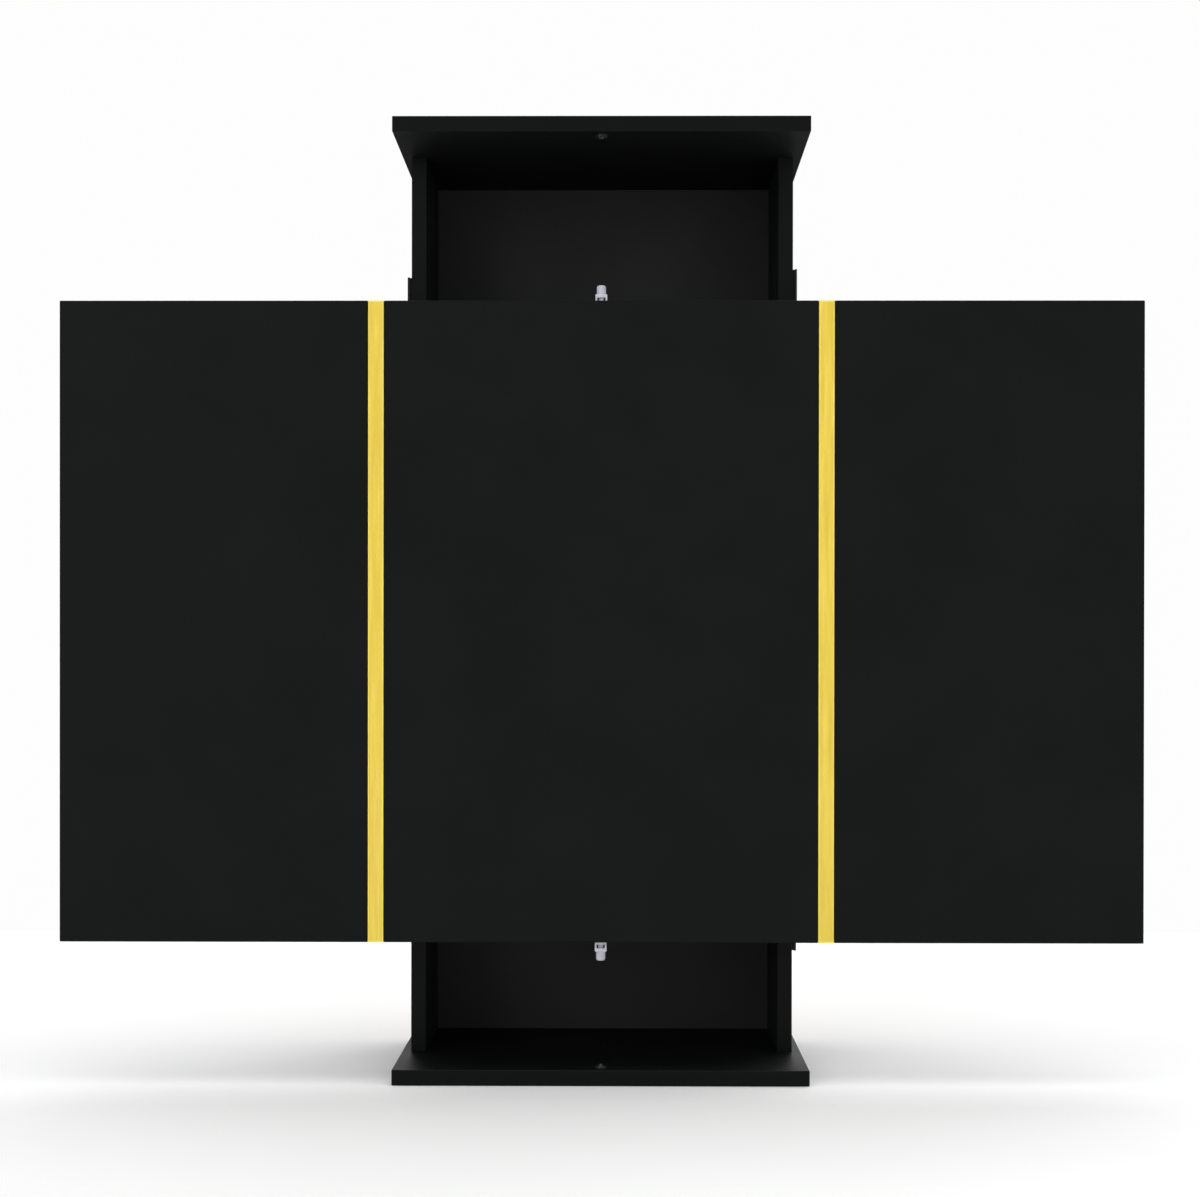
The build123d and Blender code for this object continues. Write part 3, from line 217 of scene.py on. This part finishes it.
    def edge_distance(self, lo, hi):
        """Metres from a board's nearest edge, on any of its faces: the middle one of the three distances to the box's walls."""
        c = self.xyz(self.obj)
        d = []
        for axis in range(3):
            below = self.math("SUBTRACT", c[axis], lo[axis])
            above = self.math("SUBTRACT", hi[axis], c[axis])
            d.append(self.math("MAXIMUM", self.math("MINIMUM", below, above), 0.0))
        small = self.math("MINIMUM", d[0], d[1])
        large = self.math("MAXIMUM", d[0], d[1])
        return self.math("MAXIMUM", small, self.math("MINIMUM", large, d[2]))


def paint(names, material):
    for name in names:
        o = nodes[name]
        if not o.data.materials:
            o.data.materials.append(material)
        for i in range(len(o.material_slots)):
            o.material_slots[i].material = material


# ---------------------------------------------------------------- laminates


def chipboard(s):
    """Colour and height of bare particle board: pressed chips with darker fines between them."""
    chips = s.voronoi(330.0, vec=s.scale(s.obj, 1.0, 1.0, 0.45))
    tone = s.node("ShaderNodeSeparateColor", Color=chips.outputs["Color"]).outputs[0]
    fines = s.noise(900.0, 4.0, 0.7)
    body = s.mix(tone, lin(146, 113, 76), lin(199, 168, 124))
    colour = s.mix(s.remap(fines, 0.5, 0.72), body, lin(112, 84, 55))
    return colour, s.math("ADD", chips.outputs["Distance"], fines)


def laminate(
    name, colour, rough, box, thin, specular=0.25, raw_back=False, pore=0.2, lightening=0.35, face=1.0, band_tone=1.35
):
    """Melamine-faced board: fine pores, faint clouding and rub marks in the gloss, an edge band with its seam, and
    arrises painted a little lighter, partly rubbed and partly a painted highlight. A face other than 1 paints light on
    the broad faces: a copy of the colour face times as light as the edges.
    """
    s = Shader(name)
    lo, hi = box
    edge = s.edge_distance(lo, hi)
    n_axis = s.xyz(s.nrm)[thin]
    on_face = s.remap(s.math("ABSOLUTE", n_axis), 0.6, 0.9)

    pores = s.noise(1500.0, 3.0, 0.65)
    peel = s.noise(330.0, 2.0, 0.5)
    cloud = s.noise(7.0, 5.0, 0.6)
    rub = s.noise(2.6, 7.0, 0.62, distortion=0.6)
    fleck = s.noise(620.0, 1.0, 0.5)

    tone = s.mix(s.remap(cloud, 0.3, 0.7), scaled(colour, 0.86), scaled(colour, 1.14))
    tone = s.mix(s.remap(fleck, 0.6, 0.78, 0.0, 0.6), tone, scaled(colour, 2.4))
    # painted light: the broad faces get a copy of the colour face times as light, standing in for the light they catch;
    # the edges keep the plain tone
    if face != 1.0:
        painted_light_face = s.mix(s.remap(cloud, 0.3, 0.7), scaled(colour, 0.86 * face), scaled(colour, 1.14 * face))
        painted_light_face = s.mix(s.remap(fleck, 0.6, 0.78, 0.0, 0.4), painted_light_face, scaled(colour, 2.4 * face))
        tone = s.mix(on_face, tone, painted_light_face)
    # edge band: a shade off the face, with a fine dark seam a millimetre in
    band = s.math("MULTIPLY", s.math("SUBTRACT", 1.0, on_face), 0.6)
    tone = s.mix(band, tone, scaled(colour, band_tone))
    seam_in = s.remap(edge, 0.0007, 0.0011)
    seam_out = s.remap(edge, 0.0013, 0.0018)
    seam = s.math("MULTIPLY", s.math("SUBTRACT", seam_in, seam_out, True), on_face)
    tone = s.mix(s.math("MULTIPLY", seam, 0.55), tone, scaled(colour, 0.35))
    # arrises painted lighter: partly rubbed through, partly a painted highlight where the edges catch the light
    patchy = s.remap(s.noise(46.0, 4.0, 0.6), 0.38, 0.66, 0.45, 1.0)
    lightened = s.math("MULTIPLY", s.remap(edge, 0.0013, 0.0002), s.math("MULTIPLY", patchy, lightening))
    tone = s.mix(lightened, tone, scaled(colour, 3.2))

    r = s.remap(rub, 0.34, 0.66, rough - 0.05, rough + 0.06)
    r = s.mixf(band, r, rough - 0.08)
    r = s.mixf(lightened, r, rough - 0.14)

    height = s.math("ADD", s.math("MULTIPLY", pores, 0.6), s.math("MULTIPLY", peel, 0.8))
    height = s.math("SUBTRACT", height, s.math("MULTIPLY", seam, 0.9))
    normal = s.bump(height, pore, 0.00012)

    if raw_back:
        raw, raw_height = chipboard(s)
        rear = s.remap(s.xyz(s.nrm)[1], 0.6, 0.9)
        tone = s.mix(rear, tone, raw)
        r = s.mixf(rear, r, 0.85)
        normal = s.bump(s.math("MULTIPLY", raw_height, rear), 0.5, 0.0003, normal)

    s.link(tone, "Base Color").link(r, "Roughness").link(normal, "Normal")
    s.set(specular=specular)
    return s.mat


THIN = {"x": 0, "y": 1, "z": 2}
PANEL_BLACK = lin(13, 15, 14)
CAP_BLACK = lin(11, 12, 12)
for name in ("centre_panel", "left_wing_panel", "right_wing_panel"):
    paint(
        [name],
        laminate("panel_" + name, PANEL_BLACK, 0.52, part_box(name), THIN["y"], specular=0.082, pore=0.16, lightening=0.22),
    )
# face=1.3 paints light on the caps' broad faces, making them lighter than the front edges
for name in ("top_cap", "bottom_cap"):
    paint(
        [name],
        laminate(
            "cap_" + name,
            CAP_BLACK,
            0.46,
            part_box(name),
            THIN["z"],
            specular=0.07,
            raw_back=True,
            pore=0.2,
            lightening=0.4,
            face=1.3,
            band_tone=1.1,
        ),
    )
# face=2.2 paints light on the sides' broad faces, lighter than their front edges, standing in for light inside the
# column
for name in ("left_side", "right_side"):
    paint(
        [name],
        laminate(
            "side_" + name,
            CAP_BLACK,
            0.46,
            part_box(name),
            THIN["x"],
            specular=0.09,
            raw_back=True,
            pore=0.2,
            lightening=0.35,
            face=2.2,
        ),
    )
for name in ("left_cheek", "right_cheek"):
    paint(
        [name],
        laminate("cheek_" + name, CAP_BLACK, 0.46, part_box(name), THIN["x"], specular=0.2, pore=0.2, lightening=0.4),
    )


def hardboard(name):
    """Thin fibreboard: smooth black foil on the room side, brown screen-backed fibre on the wall side."""
    s = Shader(name)
    lo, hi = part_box("back_panel")
    rear = s.remap(s.xyz(s.nrm)[1], 0.5, 0.9)
    cloud = s.noise(5.0, 5.0, 0.6)
    face = s.mix(s.remap(cloud, 0.3, 0.7), lin(17, 18, 18), lin(24, 25, 25))
    fibre = s.noise(420.0, 6.0, 0.75, vec=s.scale(s.obj, 1.0, 1.0, 0.6))
    brown = s.mix(s.remap(fibre, 0.35, 0.68), lin(92, 63, 40), lin(141, 104, 70))
    mesh = s.voronoi(640.0, randomness=0.15)
    s.link(s.mix(rear, face, brown), "Base Color")
    s.link(s.mixf(rear, s.remap(s.noise(3.0, 6.0), 0.35, 0.65, 0.5, 0.6), 0.85), "Roughness")
    smooth = s.math("MULTIPLY", s.noise(900.0, 2.0), 0.35)
    rough_side = s.math("ADD", mesh.outputs["Distance"], fibre)
    normal = s.bump(s.mixf(rear, smooth, rough_side), 0.3, 0.0002)
    normal = s.bump(s.noise(5.0, 1.5, 0.4), 0.12, 0.003, normal)
    s.link(normal, "Normal").set(specular=0.36)
    return s.mat


paint(["back_panel"], hardboard("hardboard_black_foil"))


def raw_board(name):
    s = Shader(name)
    colour, height = chipboard(s)
    s.link(colour, "Base Color")
    s.link(s.remap(s.noise(60.0, 4.0), 0.3, 0.7, 0.78, 0.92), "Roughness")
    s.link(s.bump(height, 0.55, 0.0003), "Normal").set(specular=0.25)
    return s.mat


paint(["upper_hanging_rail", "lower_hanging_rail"], raw_board("bare_particle_board"))


def lacquer(name, box):
    """Yellow lacquer over a wood strip: brushed-out film with faint long grain, a painted highlight of lighter yellow
    along the rounded edges in patches, tiny dust nibs.
    """
    s = Shader(name)
    lo, hi = box
    edge = s.edge_distance(lo, hi)
    base = lin(224, 197, 66)
    grain = s.noise(22.0, 5.0, 0.62, vec=s.scale(s.obj, 9.0, 9.0, 0.45), distortion=0.4)
    fine = s.noise(700.0, 3.0, 0.6, vec=s.scale(s.obj, 1.0, 1.0, 0.12))
    cloud = s.noise(12.0, 4.0, 0.55)
    tone = s.mix(s.remap(grain, 0.32, 0.7), lin(214, 185, 55), lin(232, 206, 78))
    tone = s.mix(s.remap(cloud, 0.35, 0.7, 0.0, 0.45), tone, base)
    tone = s.mix(s.remap(fine, 0.55, 0.8, 0.0, 0.35), tone, lin(205, 172, 48))
    # painted highlight: the rounded edges are lightened towards a pale yellow in patches, standing in for the light
    # they catch
    highlight_patches = s.remap(s.noise(26.0, 3.0, 0.6), 0.35, 0.65, 0.5, 0.85)
    painted_edge_highlight = s.math("MULTIPLY", s.remap(edge, 0.0021, 0.0008), highlight_patches)
    tone = s.mix(painted_edge_highlight, tone, lin(252, 229, 96))
    nick = s.math("MULTIPLY", s.remap(edge, 0.0012, 0.0), s.remap(s.noise(95.0, 3.0, 0.6), 0.6, 0.72))
    tone = s.mix(nick, tone, lin(178, 140, 44))
    s.link(tone, "Base Color")
    s.link(s.remap(s.noise(30.0, 5.0), 0.3, 0.7, 0.3, 0.42), "Roughness")
    nibs = s.remap(s.voronoi(420.0).outputs["Distance"], 0.0, 0.25, 1.0, 0.0)
    nibs = s.math("MULTIPLY", nibs, s.remap(s.noise(35.0, 2.0), 0.55, 0.7))
    height = s.math("ADD", s.math("MULTIPLY", grain, 0.8), s.math("ADD", s.math("MULTIPLY", fine, 0.35), nibs))
    s.link(s.bump(height, 0.22, 0.0003), "Normal").set(specular=0.45, coat=0.15, coat_roughness=0.25)
    return s.mat


for name in ("left_hinge_stile", "right_hinge_stile"):
    paint([name], lacquer("yellow_" + name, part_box(name)))

# ------------------------------------------------------------------- metals


def zinc(name, along=(1.0, 1.0, 1.0), dark=1.0, rough=0.34):
    """Zinc-plated steel: bluish grey, spangled, with fine drawing lines and slight tarnish."""
    s = Shader(name)
    lines = s.noise(1.0, 4.0, 0.7, vec=s.scale(s.obj, *(900.0 * a for a in along)))
    spangle = s.voronoi(520.0).outputs["Color"]
    tone = s.node("ShaderNodeSeparateColor", Color=spangle).outputs[1]
    tarnish = s.noise(60.0, 5.0, 0.65)
    colour = s.mix(tone, scaled(lin(168, 172, 178), dark), scaled(lin(196, 199, 203), dark))
    colour = s.mix(s.remap(tarnish, 0.52, 0.75, 0.0, 0.6), colour, scaled(lin(128, 126, 120), dark))
    s.link(colour, "Base Color")
    s.link(s.mixf(s.remap(tarnish, 0.4, 0.7), s.remap(lines, 0.3, 0.7, rough - 0.1, rough + 0.08), rough + 0.16), "Roughness")
    s.link(s.bump(lines, 0.12, 0.00005), "Normal").set(metallic=1.0)
    return s.mat


hinge_zinc = zinc("zinc_hinge", along=(1.0, 1.0, 0.03))
screw_zinc = zinc("zinc_screw", rough=0.28)
bracket_zinc = zinc("zinc_bracket", along=(0.05, 0.05, 1.0), rough=0.38)
paint(
    [
        "left_hinge_cheek_leaf",
        "right_hinge_cheek_leaf",
        "left_hinge_wing_leaf",
        "right_hinge_wing_leaf",
        "left_hinge_pin",
        "right_hinge_pin",
    ],
    hinge_zinc,
)
paint(
    [
        "cap_screws",
        "slide_rail_screws",
        "bracket_screws",
        "glide_screws",
        "brake_set_screws",
        "cheek_hinge_screws",
        "latch_screws",
        "left_wing_hinge_screws",
        "right_wing_hinge_screws",
    ],
    screw_zinc,
)
paint(["corner_brackets"], bracket_zinc)


def anodised(name):
    """Black anodised extrusion: die lines along its length, scuffs from the glides."""
    s = Shader(name)
    die = s.noise(1.0, 4.0, 0.7, vec=s.scale(s.obj, 1600.0, 1600.0, 5.0))
    scuff = s.remap(s.noise(1.0, 5.0, 0.65, vec=s.scale(s.obj, 240.0, 240.0, 9.0)), 0.56, 0.74)
    colour = s.mix(s.remap(die, 0.3, 0.7), lin(22, 22, 24), lin(36, 36, 39))
    colour = s.mix(s.math("MULTIPLY", scuff, 0.5), colour, lin(78, 78, 82))
    s.link(colour, "Base Color")
    s.link(s.mixf(scuff, s.remap(die, 0.3, 0.7, 0.34, 0.46), 0.28), "Roughness")
    s.link(s.bump(die, 0.2, 0.00006), "Normal").set(metallic=0.55, specular=0.4)
    return s.mat


paint(["left_slide_rail", "right_slide_rail"], anodised("anodised_black"))


def nickel_black(name):
    """Nickel-black steel, worn towards bare metal in patches."""
    s = Shader(name)
    lightening = s.remap(s.noise(420.0, 4.0, 0.6), 0.45, 0.7)
    colour = s.mix(s.remap(s.noise(150.0, 4.0), 0.3, 0.7), lin(40, 41, 43), lin(66, 67, 70))
    colour = s.mix(s.math("MULTIPLY", lightening, 0.45), colour, lin(118, 118, 118))
    s.link(colour, "Base Color")
    s.link(s.remap(s.noise(260.0, 3.0), 0.3, 0.7, 0.26, 0.42), "Roughness")
    s.link(s.bump(s.noise(1200.0, 2.0), 0.1, 0.00005), "Normal").set(metallic=0.85)
    return s.mat


paint(["upper_strike_plate", "lower_strike_plate", "strike_screws"], nickel_black("nickel_black"))


def black_screw(name):
    s = Shader(name)
    lightened = s.remap(s.noise(520.0, 4.0), 0.5, 0.72)
    s.link(s.mix(lightened, lin(24, 24, 25), lin(66, 66, 68)), "Base Color")
    s.link(s.remap(s.noise(300.0, 3.0), 0.3, 0.7, 0.38, 0.55), "Roughness")
    s.link(s.bump(s.noise(1400.0, 2.0), 0.15, 0.00006), "Normal").set(metallic=0.4)
    return s.mat


paint(["back_panel_screws"], black_screw("phosphated_screw"))


def spring_wire(name):
    s = Shader(name)
    drawn = s.noise(1500.0, 3.0, 0.6)
    s.link(s.mix(s.remap(drawn, 0.3, 0.7), lin(132, 133, 138), lin(182, 183, 188)), "Base Color")
    s.link(s.remap(drawn, 0.3, 0.7, 0.22, 0.36), "Roughness")
    s.link(s.bump(drawn, 0.12, 0.00004), "Normal").set(metallic=1.0)
    return s.mat


wire_finish = spring_wire("spring_wire")
paint(["upper_latch_spring", "lower_latch_spring"], wire_finish)

# ----------------------------------------------------- plastics, rubber, felt


def moulded(name, colour, rough, spread=0.05, bump=0.25, specular=0.45, dirt=0.25, subsurface=0.0):
    """Moulded plastic: spark-eroded fine texture, faint flow clouding, handling dirt in patches."""
    s = Shader(name)
    spark = s.noise(1700.0, 4.0, 0.65)
    flow = s.noise(85.0, 3.0, 0.5, vec=s.scale(s.obj, 1.0, 1.0, 0.4))
    grime = s.remap(s.noise(190.0, 5.0, 0.65), 0.55, 0.8)
    tone = s.mix(s.remap(flow, 0.3, 0.7), scaled(colour, 0.93), scaled(colour, 1.05))
    tone = s.mix(s.math("MULTIPLY", grime, dirt), tone, scaled(colour, 0.6))
    s.link(tone, "Base Color")
    s.link(s.remap(flow, 0.3, 0.7, rough - spread, rough + spread), "Roughness")
    s.link(s.bump(spark, bump, 0.00012), "Normal").set(specular=specular, subsurface=subsurface)
    return s.mat


paint(["upper_latch_housing", "lower_latch_housing"], moulded("latch_grey", lin(206, 205, 216), 0.42))
paint(["upper_latch_plunger", "lower_latch_plunger"], moulded("latch_nose", lin(192, 190, 204), 0.38))
paint(["left_glides", "right_glides"], moulded("nylon", lin(224, 222, 212), 0.5, dirt=0.35))
paint(["cap_screw_covers"], moulded("cover_black", lin(20, 20, 21), 0.5, specular=0.3))
paint(["wing_buffers"], moulded("buffer_rubber", lin(21, 21, 22), 0.78, bump=0.5, specular=0.25))


def felt(name):
    s = Shader(name)
    fuzz = s.noise(1800.0, 6.0, 0.8)
    fibre = s.noise(700.0, 4.0, 0.7, vec=s.scale(s.obj, 1.0, 0.3, 1.0))
    s.link(s.mix(s.remap(fibre, 0.3, 0.7), lin(72, 72, 75), lin(124, 124, 128)), "Base Color")
    s.link(s.remap(fuzz, 0.3, 0.7, 0.88, 0.98), "Roughness")
    s.link(s.bump(s.math("ADD", fuzz, fibre), 0.7, 0.0003), "Normal").set(specular=0.1, sheen=0.3, sheen_roughness=0.5)
    return s.mat


paint(["brake_pads"], felt("brake_felt"))


def beech(name):
    s = Shader(name)
    grain = s.noise(1.0, 5.0, 0.65, vec=s.scale(s.obj, 60.0, 500.0, 500.0))
    ray = s.remap(s.noise(1.0, 2.0, 0.5, vec=s.scale(s.obj, 240.0, 900.0, 900.0)), 0.6, 0.7)
    colour = s.mix(s.remap(grain, 0.3, 0.7), lin(184, 143, 98), lin(221, 188, 145))
    s.link(s.mix(s.math("MULTIPLY", ray, 0.4), colour, lin(150, 106, 66)), "Base Color")
    s.link(s.remap(grain, 0.3, 0.7, 0.6, 0.72), "Roughness")
    s.link(s.bump(grain, 0.25, 0.0001), "Normal")
    return s.mat


paint(
    ["cap_dowels", "hanging_rail_dowels", "cheek_dowels", "left_stile_dowels", "right_stile_dowels"],
    beech("beech_dowel"),
)

# ------------------------------------------------------------ latch springs
# The springs shorten as their plungers are pushed in.
# Each is drawn as its own coil, attached to the carriage body in place of the part file's spring.

COIL_R, WIRE_R, TURNS = 0.0041, 0.0005, 6
RINGS_PER_TURN, SIDES = 30, 14


def coil(name, seat, sign):
    """Wire coil on the latch axis, from its seat on the housing's ledge towards the plunger's flange; sign is the way the nose points along Z."""
    first = 0.0001 + WIRE_R
    length = 0.0234 - 2 * first
    vertices, faces = [], []
    rings = RINGS_PER_TURN * TURNS
    rise = length / (2 * math.pi * TURNS)
    for i in range(rings + 1):
        a = 2 * math.pi * i / RINGS_PER_TURN
        radial = Vector((math.cos(a), math.sin(a), 0.0))
        tangent = Vector((-COIL_R * math.sin(a), COIL_R * math.cos(a), rise)).normalized()
        across = tangent.cross(radial)
        middle = radial * COIL_R + Vector((0.0, 0.0, first + rise * a))
        for j in range(SIDES):
            b = 2 * math.pi * j / SIDES
            p = middle + (radial * math.cos(b) + across * math.sin(b)) * WIRE_R
            vertices.append((sign * p.x, p.y - 0.175, seat + sign * p.z))
    for i in range(rings):
        for j in range(SIDES):
            k = (j + 1) % SIDES
            faces.append((i * SIDES + j, i * SIDES + k, (i + 1) * SIDES + k, (i + 1) * SIDES + j))
    faces.append(tuple(range(SIDES)))
    faces.append(tuple(rings * SIDES + j for j in reversed(range(SIDES))))
    mesh = bpy.data.meshes.new(name)
    mesh.from_pydata(vertices, [], faces)
    bm = bmesh.new()
    bm.from_mesh(mesh)
    bmesh.ops.recalc_face_normals(bm, faces=bm.faces)
    for f in bm.faces:
        f.smooth = len(f.verts) == 4
    bm.to_mesh(mesh)
    bm.free()
    o = bpy.data.objects.new(name, mesh)
    bpy.context.scene.collection.objects.link(o)
    o.data.materials.append(wire_finish)
    return o


for where, seat, sign in (("upper", 0.8873, 1.0), ("lower", 0.1882, -1.0)):
    piece = coil(where + "_coil", seat, sign)
    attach(piece, "carriage")
    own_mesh(piece)
    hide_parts(where + "_latch_spring")

# ---------------------------------------------------------------- the studio

lo, hi = Vector(cad_box[:3]), Vector(cad_box[3:])

mesh = bpy.data.meshes.new("studio_floor")
mesh.from_pydata(
    [(-25, -40, -0.0006), (25, -40, -0.0006), (25, 1.7, -0.0006), (-25, 1.7, -0.0006)], [], [(0, 1, 2, 3)]
)
floor = bpy.data.objects.new("studio_floor", mesh)
bpy.context.scene.collection.objects.link(floor)
s = Shader("studio_floor")
tone = s.mix(s.remap(s.noise(1.3, 3.0), 0.3, 0.7), (0.89, 0.89, 0.89, 1.0), (0.91, 0.91, 0.91, 1.0))
s.link(tone, "Base Color").set(roughness=0.85, specular=0.15)
floor.data.materials.append(s.mat)

world = bpy.data.worlds.new("studio")
bpy.context.scene.world = world
world.use_nodes = True
wt = world.node_tree
wt.nodes.clear()
w_out = wt.nodes.new("ShaderNodeOutputWorld")
w_cam = wt.nodes.new("ShaderNodeBackground")
w_cam.inputs["Color"].default_value = (1.0, 1.0, 1.0, 1.0)
w_cam.inputs["Strength"].default_value = 0.985
w_env = wt.nodes.new("ShaderNodeBackground")
w_env.inputs["Strength"].default_value = 1.0
# a wide soft glow in front, dim behind and below
w_coord = wt.nodes.new("ShaderNodeTexCoord")
w_xyz = wt.nodes.new("ShaderNodeSeparateXYZ")
wt.links.new(w_coord.outputs["Generated"], w_xyz.inputs[0])
w_map = wt.nodes.new("ShaderNodeMapRange")
w_map.interpolation_type = "SMOOTHSTEP"
wt.links.new(w_xyz.outputs["Y"], w_map.inputs["Value"])
w_map.inputs["From Min"].default_value = -1.0
w_map.inputs["From Max"].default_value = 0.6
w_map.inputs["To Min"].default_value = 0.45
w_map.inputs["To Max"].default_value = 0.07
wt.links.new(w_map.outputs["Result"], w_env.inputs["Color"])
w_path = wt.nodes.new("ShaderNodeLightPath")
w_mix = wt.nodes.new("ShaderNodeMixShader")
wt.links.new(w_path.outputs["Is Camera Ray"], w_mix.inputs[0])
wt.links.new(w_env.outputs[0], w_mix.inputs[1])
wt.links.new(w_cam.outputs[0], w_mix.inputs[2])
wt.links.new(w_mix.outputs[0], w_out.inputs["Surface"])


def sun(name, towards, strength, spread):
    """A very soft distant light that shines from the direction `towards`."""
    data = bpy.data.lights.new(name, "SUN")
    data.energy = strength
    data.angle = math.radians(spread)
    o = bpy.data.objects.new(name, data)
    bpy.context.scene.collection.objects.link(o)
    o.rotation_euler = Vector(towards).to_track_quat("Z", "Y").to_euler()
    return o


sun("key", (-0.62, -0.78, 0.24), 0.98, 45)
sun("fill", (0.75, -0.66, 0.20), 0.84, 55)
sun("top", (0.05, 0.12, 1.0), 2.55, 80)
sun("back", (0.30, 0.90, 0.42), 0.75, 60)

# ---------------------------------------------------------------- the camera
# Square on, in line with the object's middle; half a degree off level and square, like a hand-set tripod.
FOCAL_PX, FRAME_W = 2690.4, 1200.0
cam_data = bpy.data.cameras.new("camera")
cam_data.sensor_width = 36.0
cam_data.sensor_fit = "HORIZONTAL"
cam_data.lens = FOCAL_PX / FRAME_W * 36.0
cam_data.shift_x = 7.28 / FRAME_W
cam_data.shift_y = 94.46 / FRAME_W
cam_data.clip_end = 200.0
camera = bpy.data.objects.new("camera", cam_data)
bpy.context.scene.collection.objects.link(camera)
camera.location = (0.02085, lo.y - 3.12169, 0.47272)
camera.rotation_euler = (math.radians(89.7), math.radians(-0.0645), math.radians(0.5557))
bpy.context.scene.camera = camera

bpy.context.scene.view_settings.view_transform = "Standard"
bpy.context.scene.view_settings.look = "None"
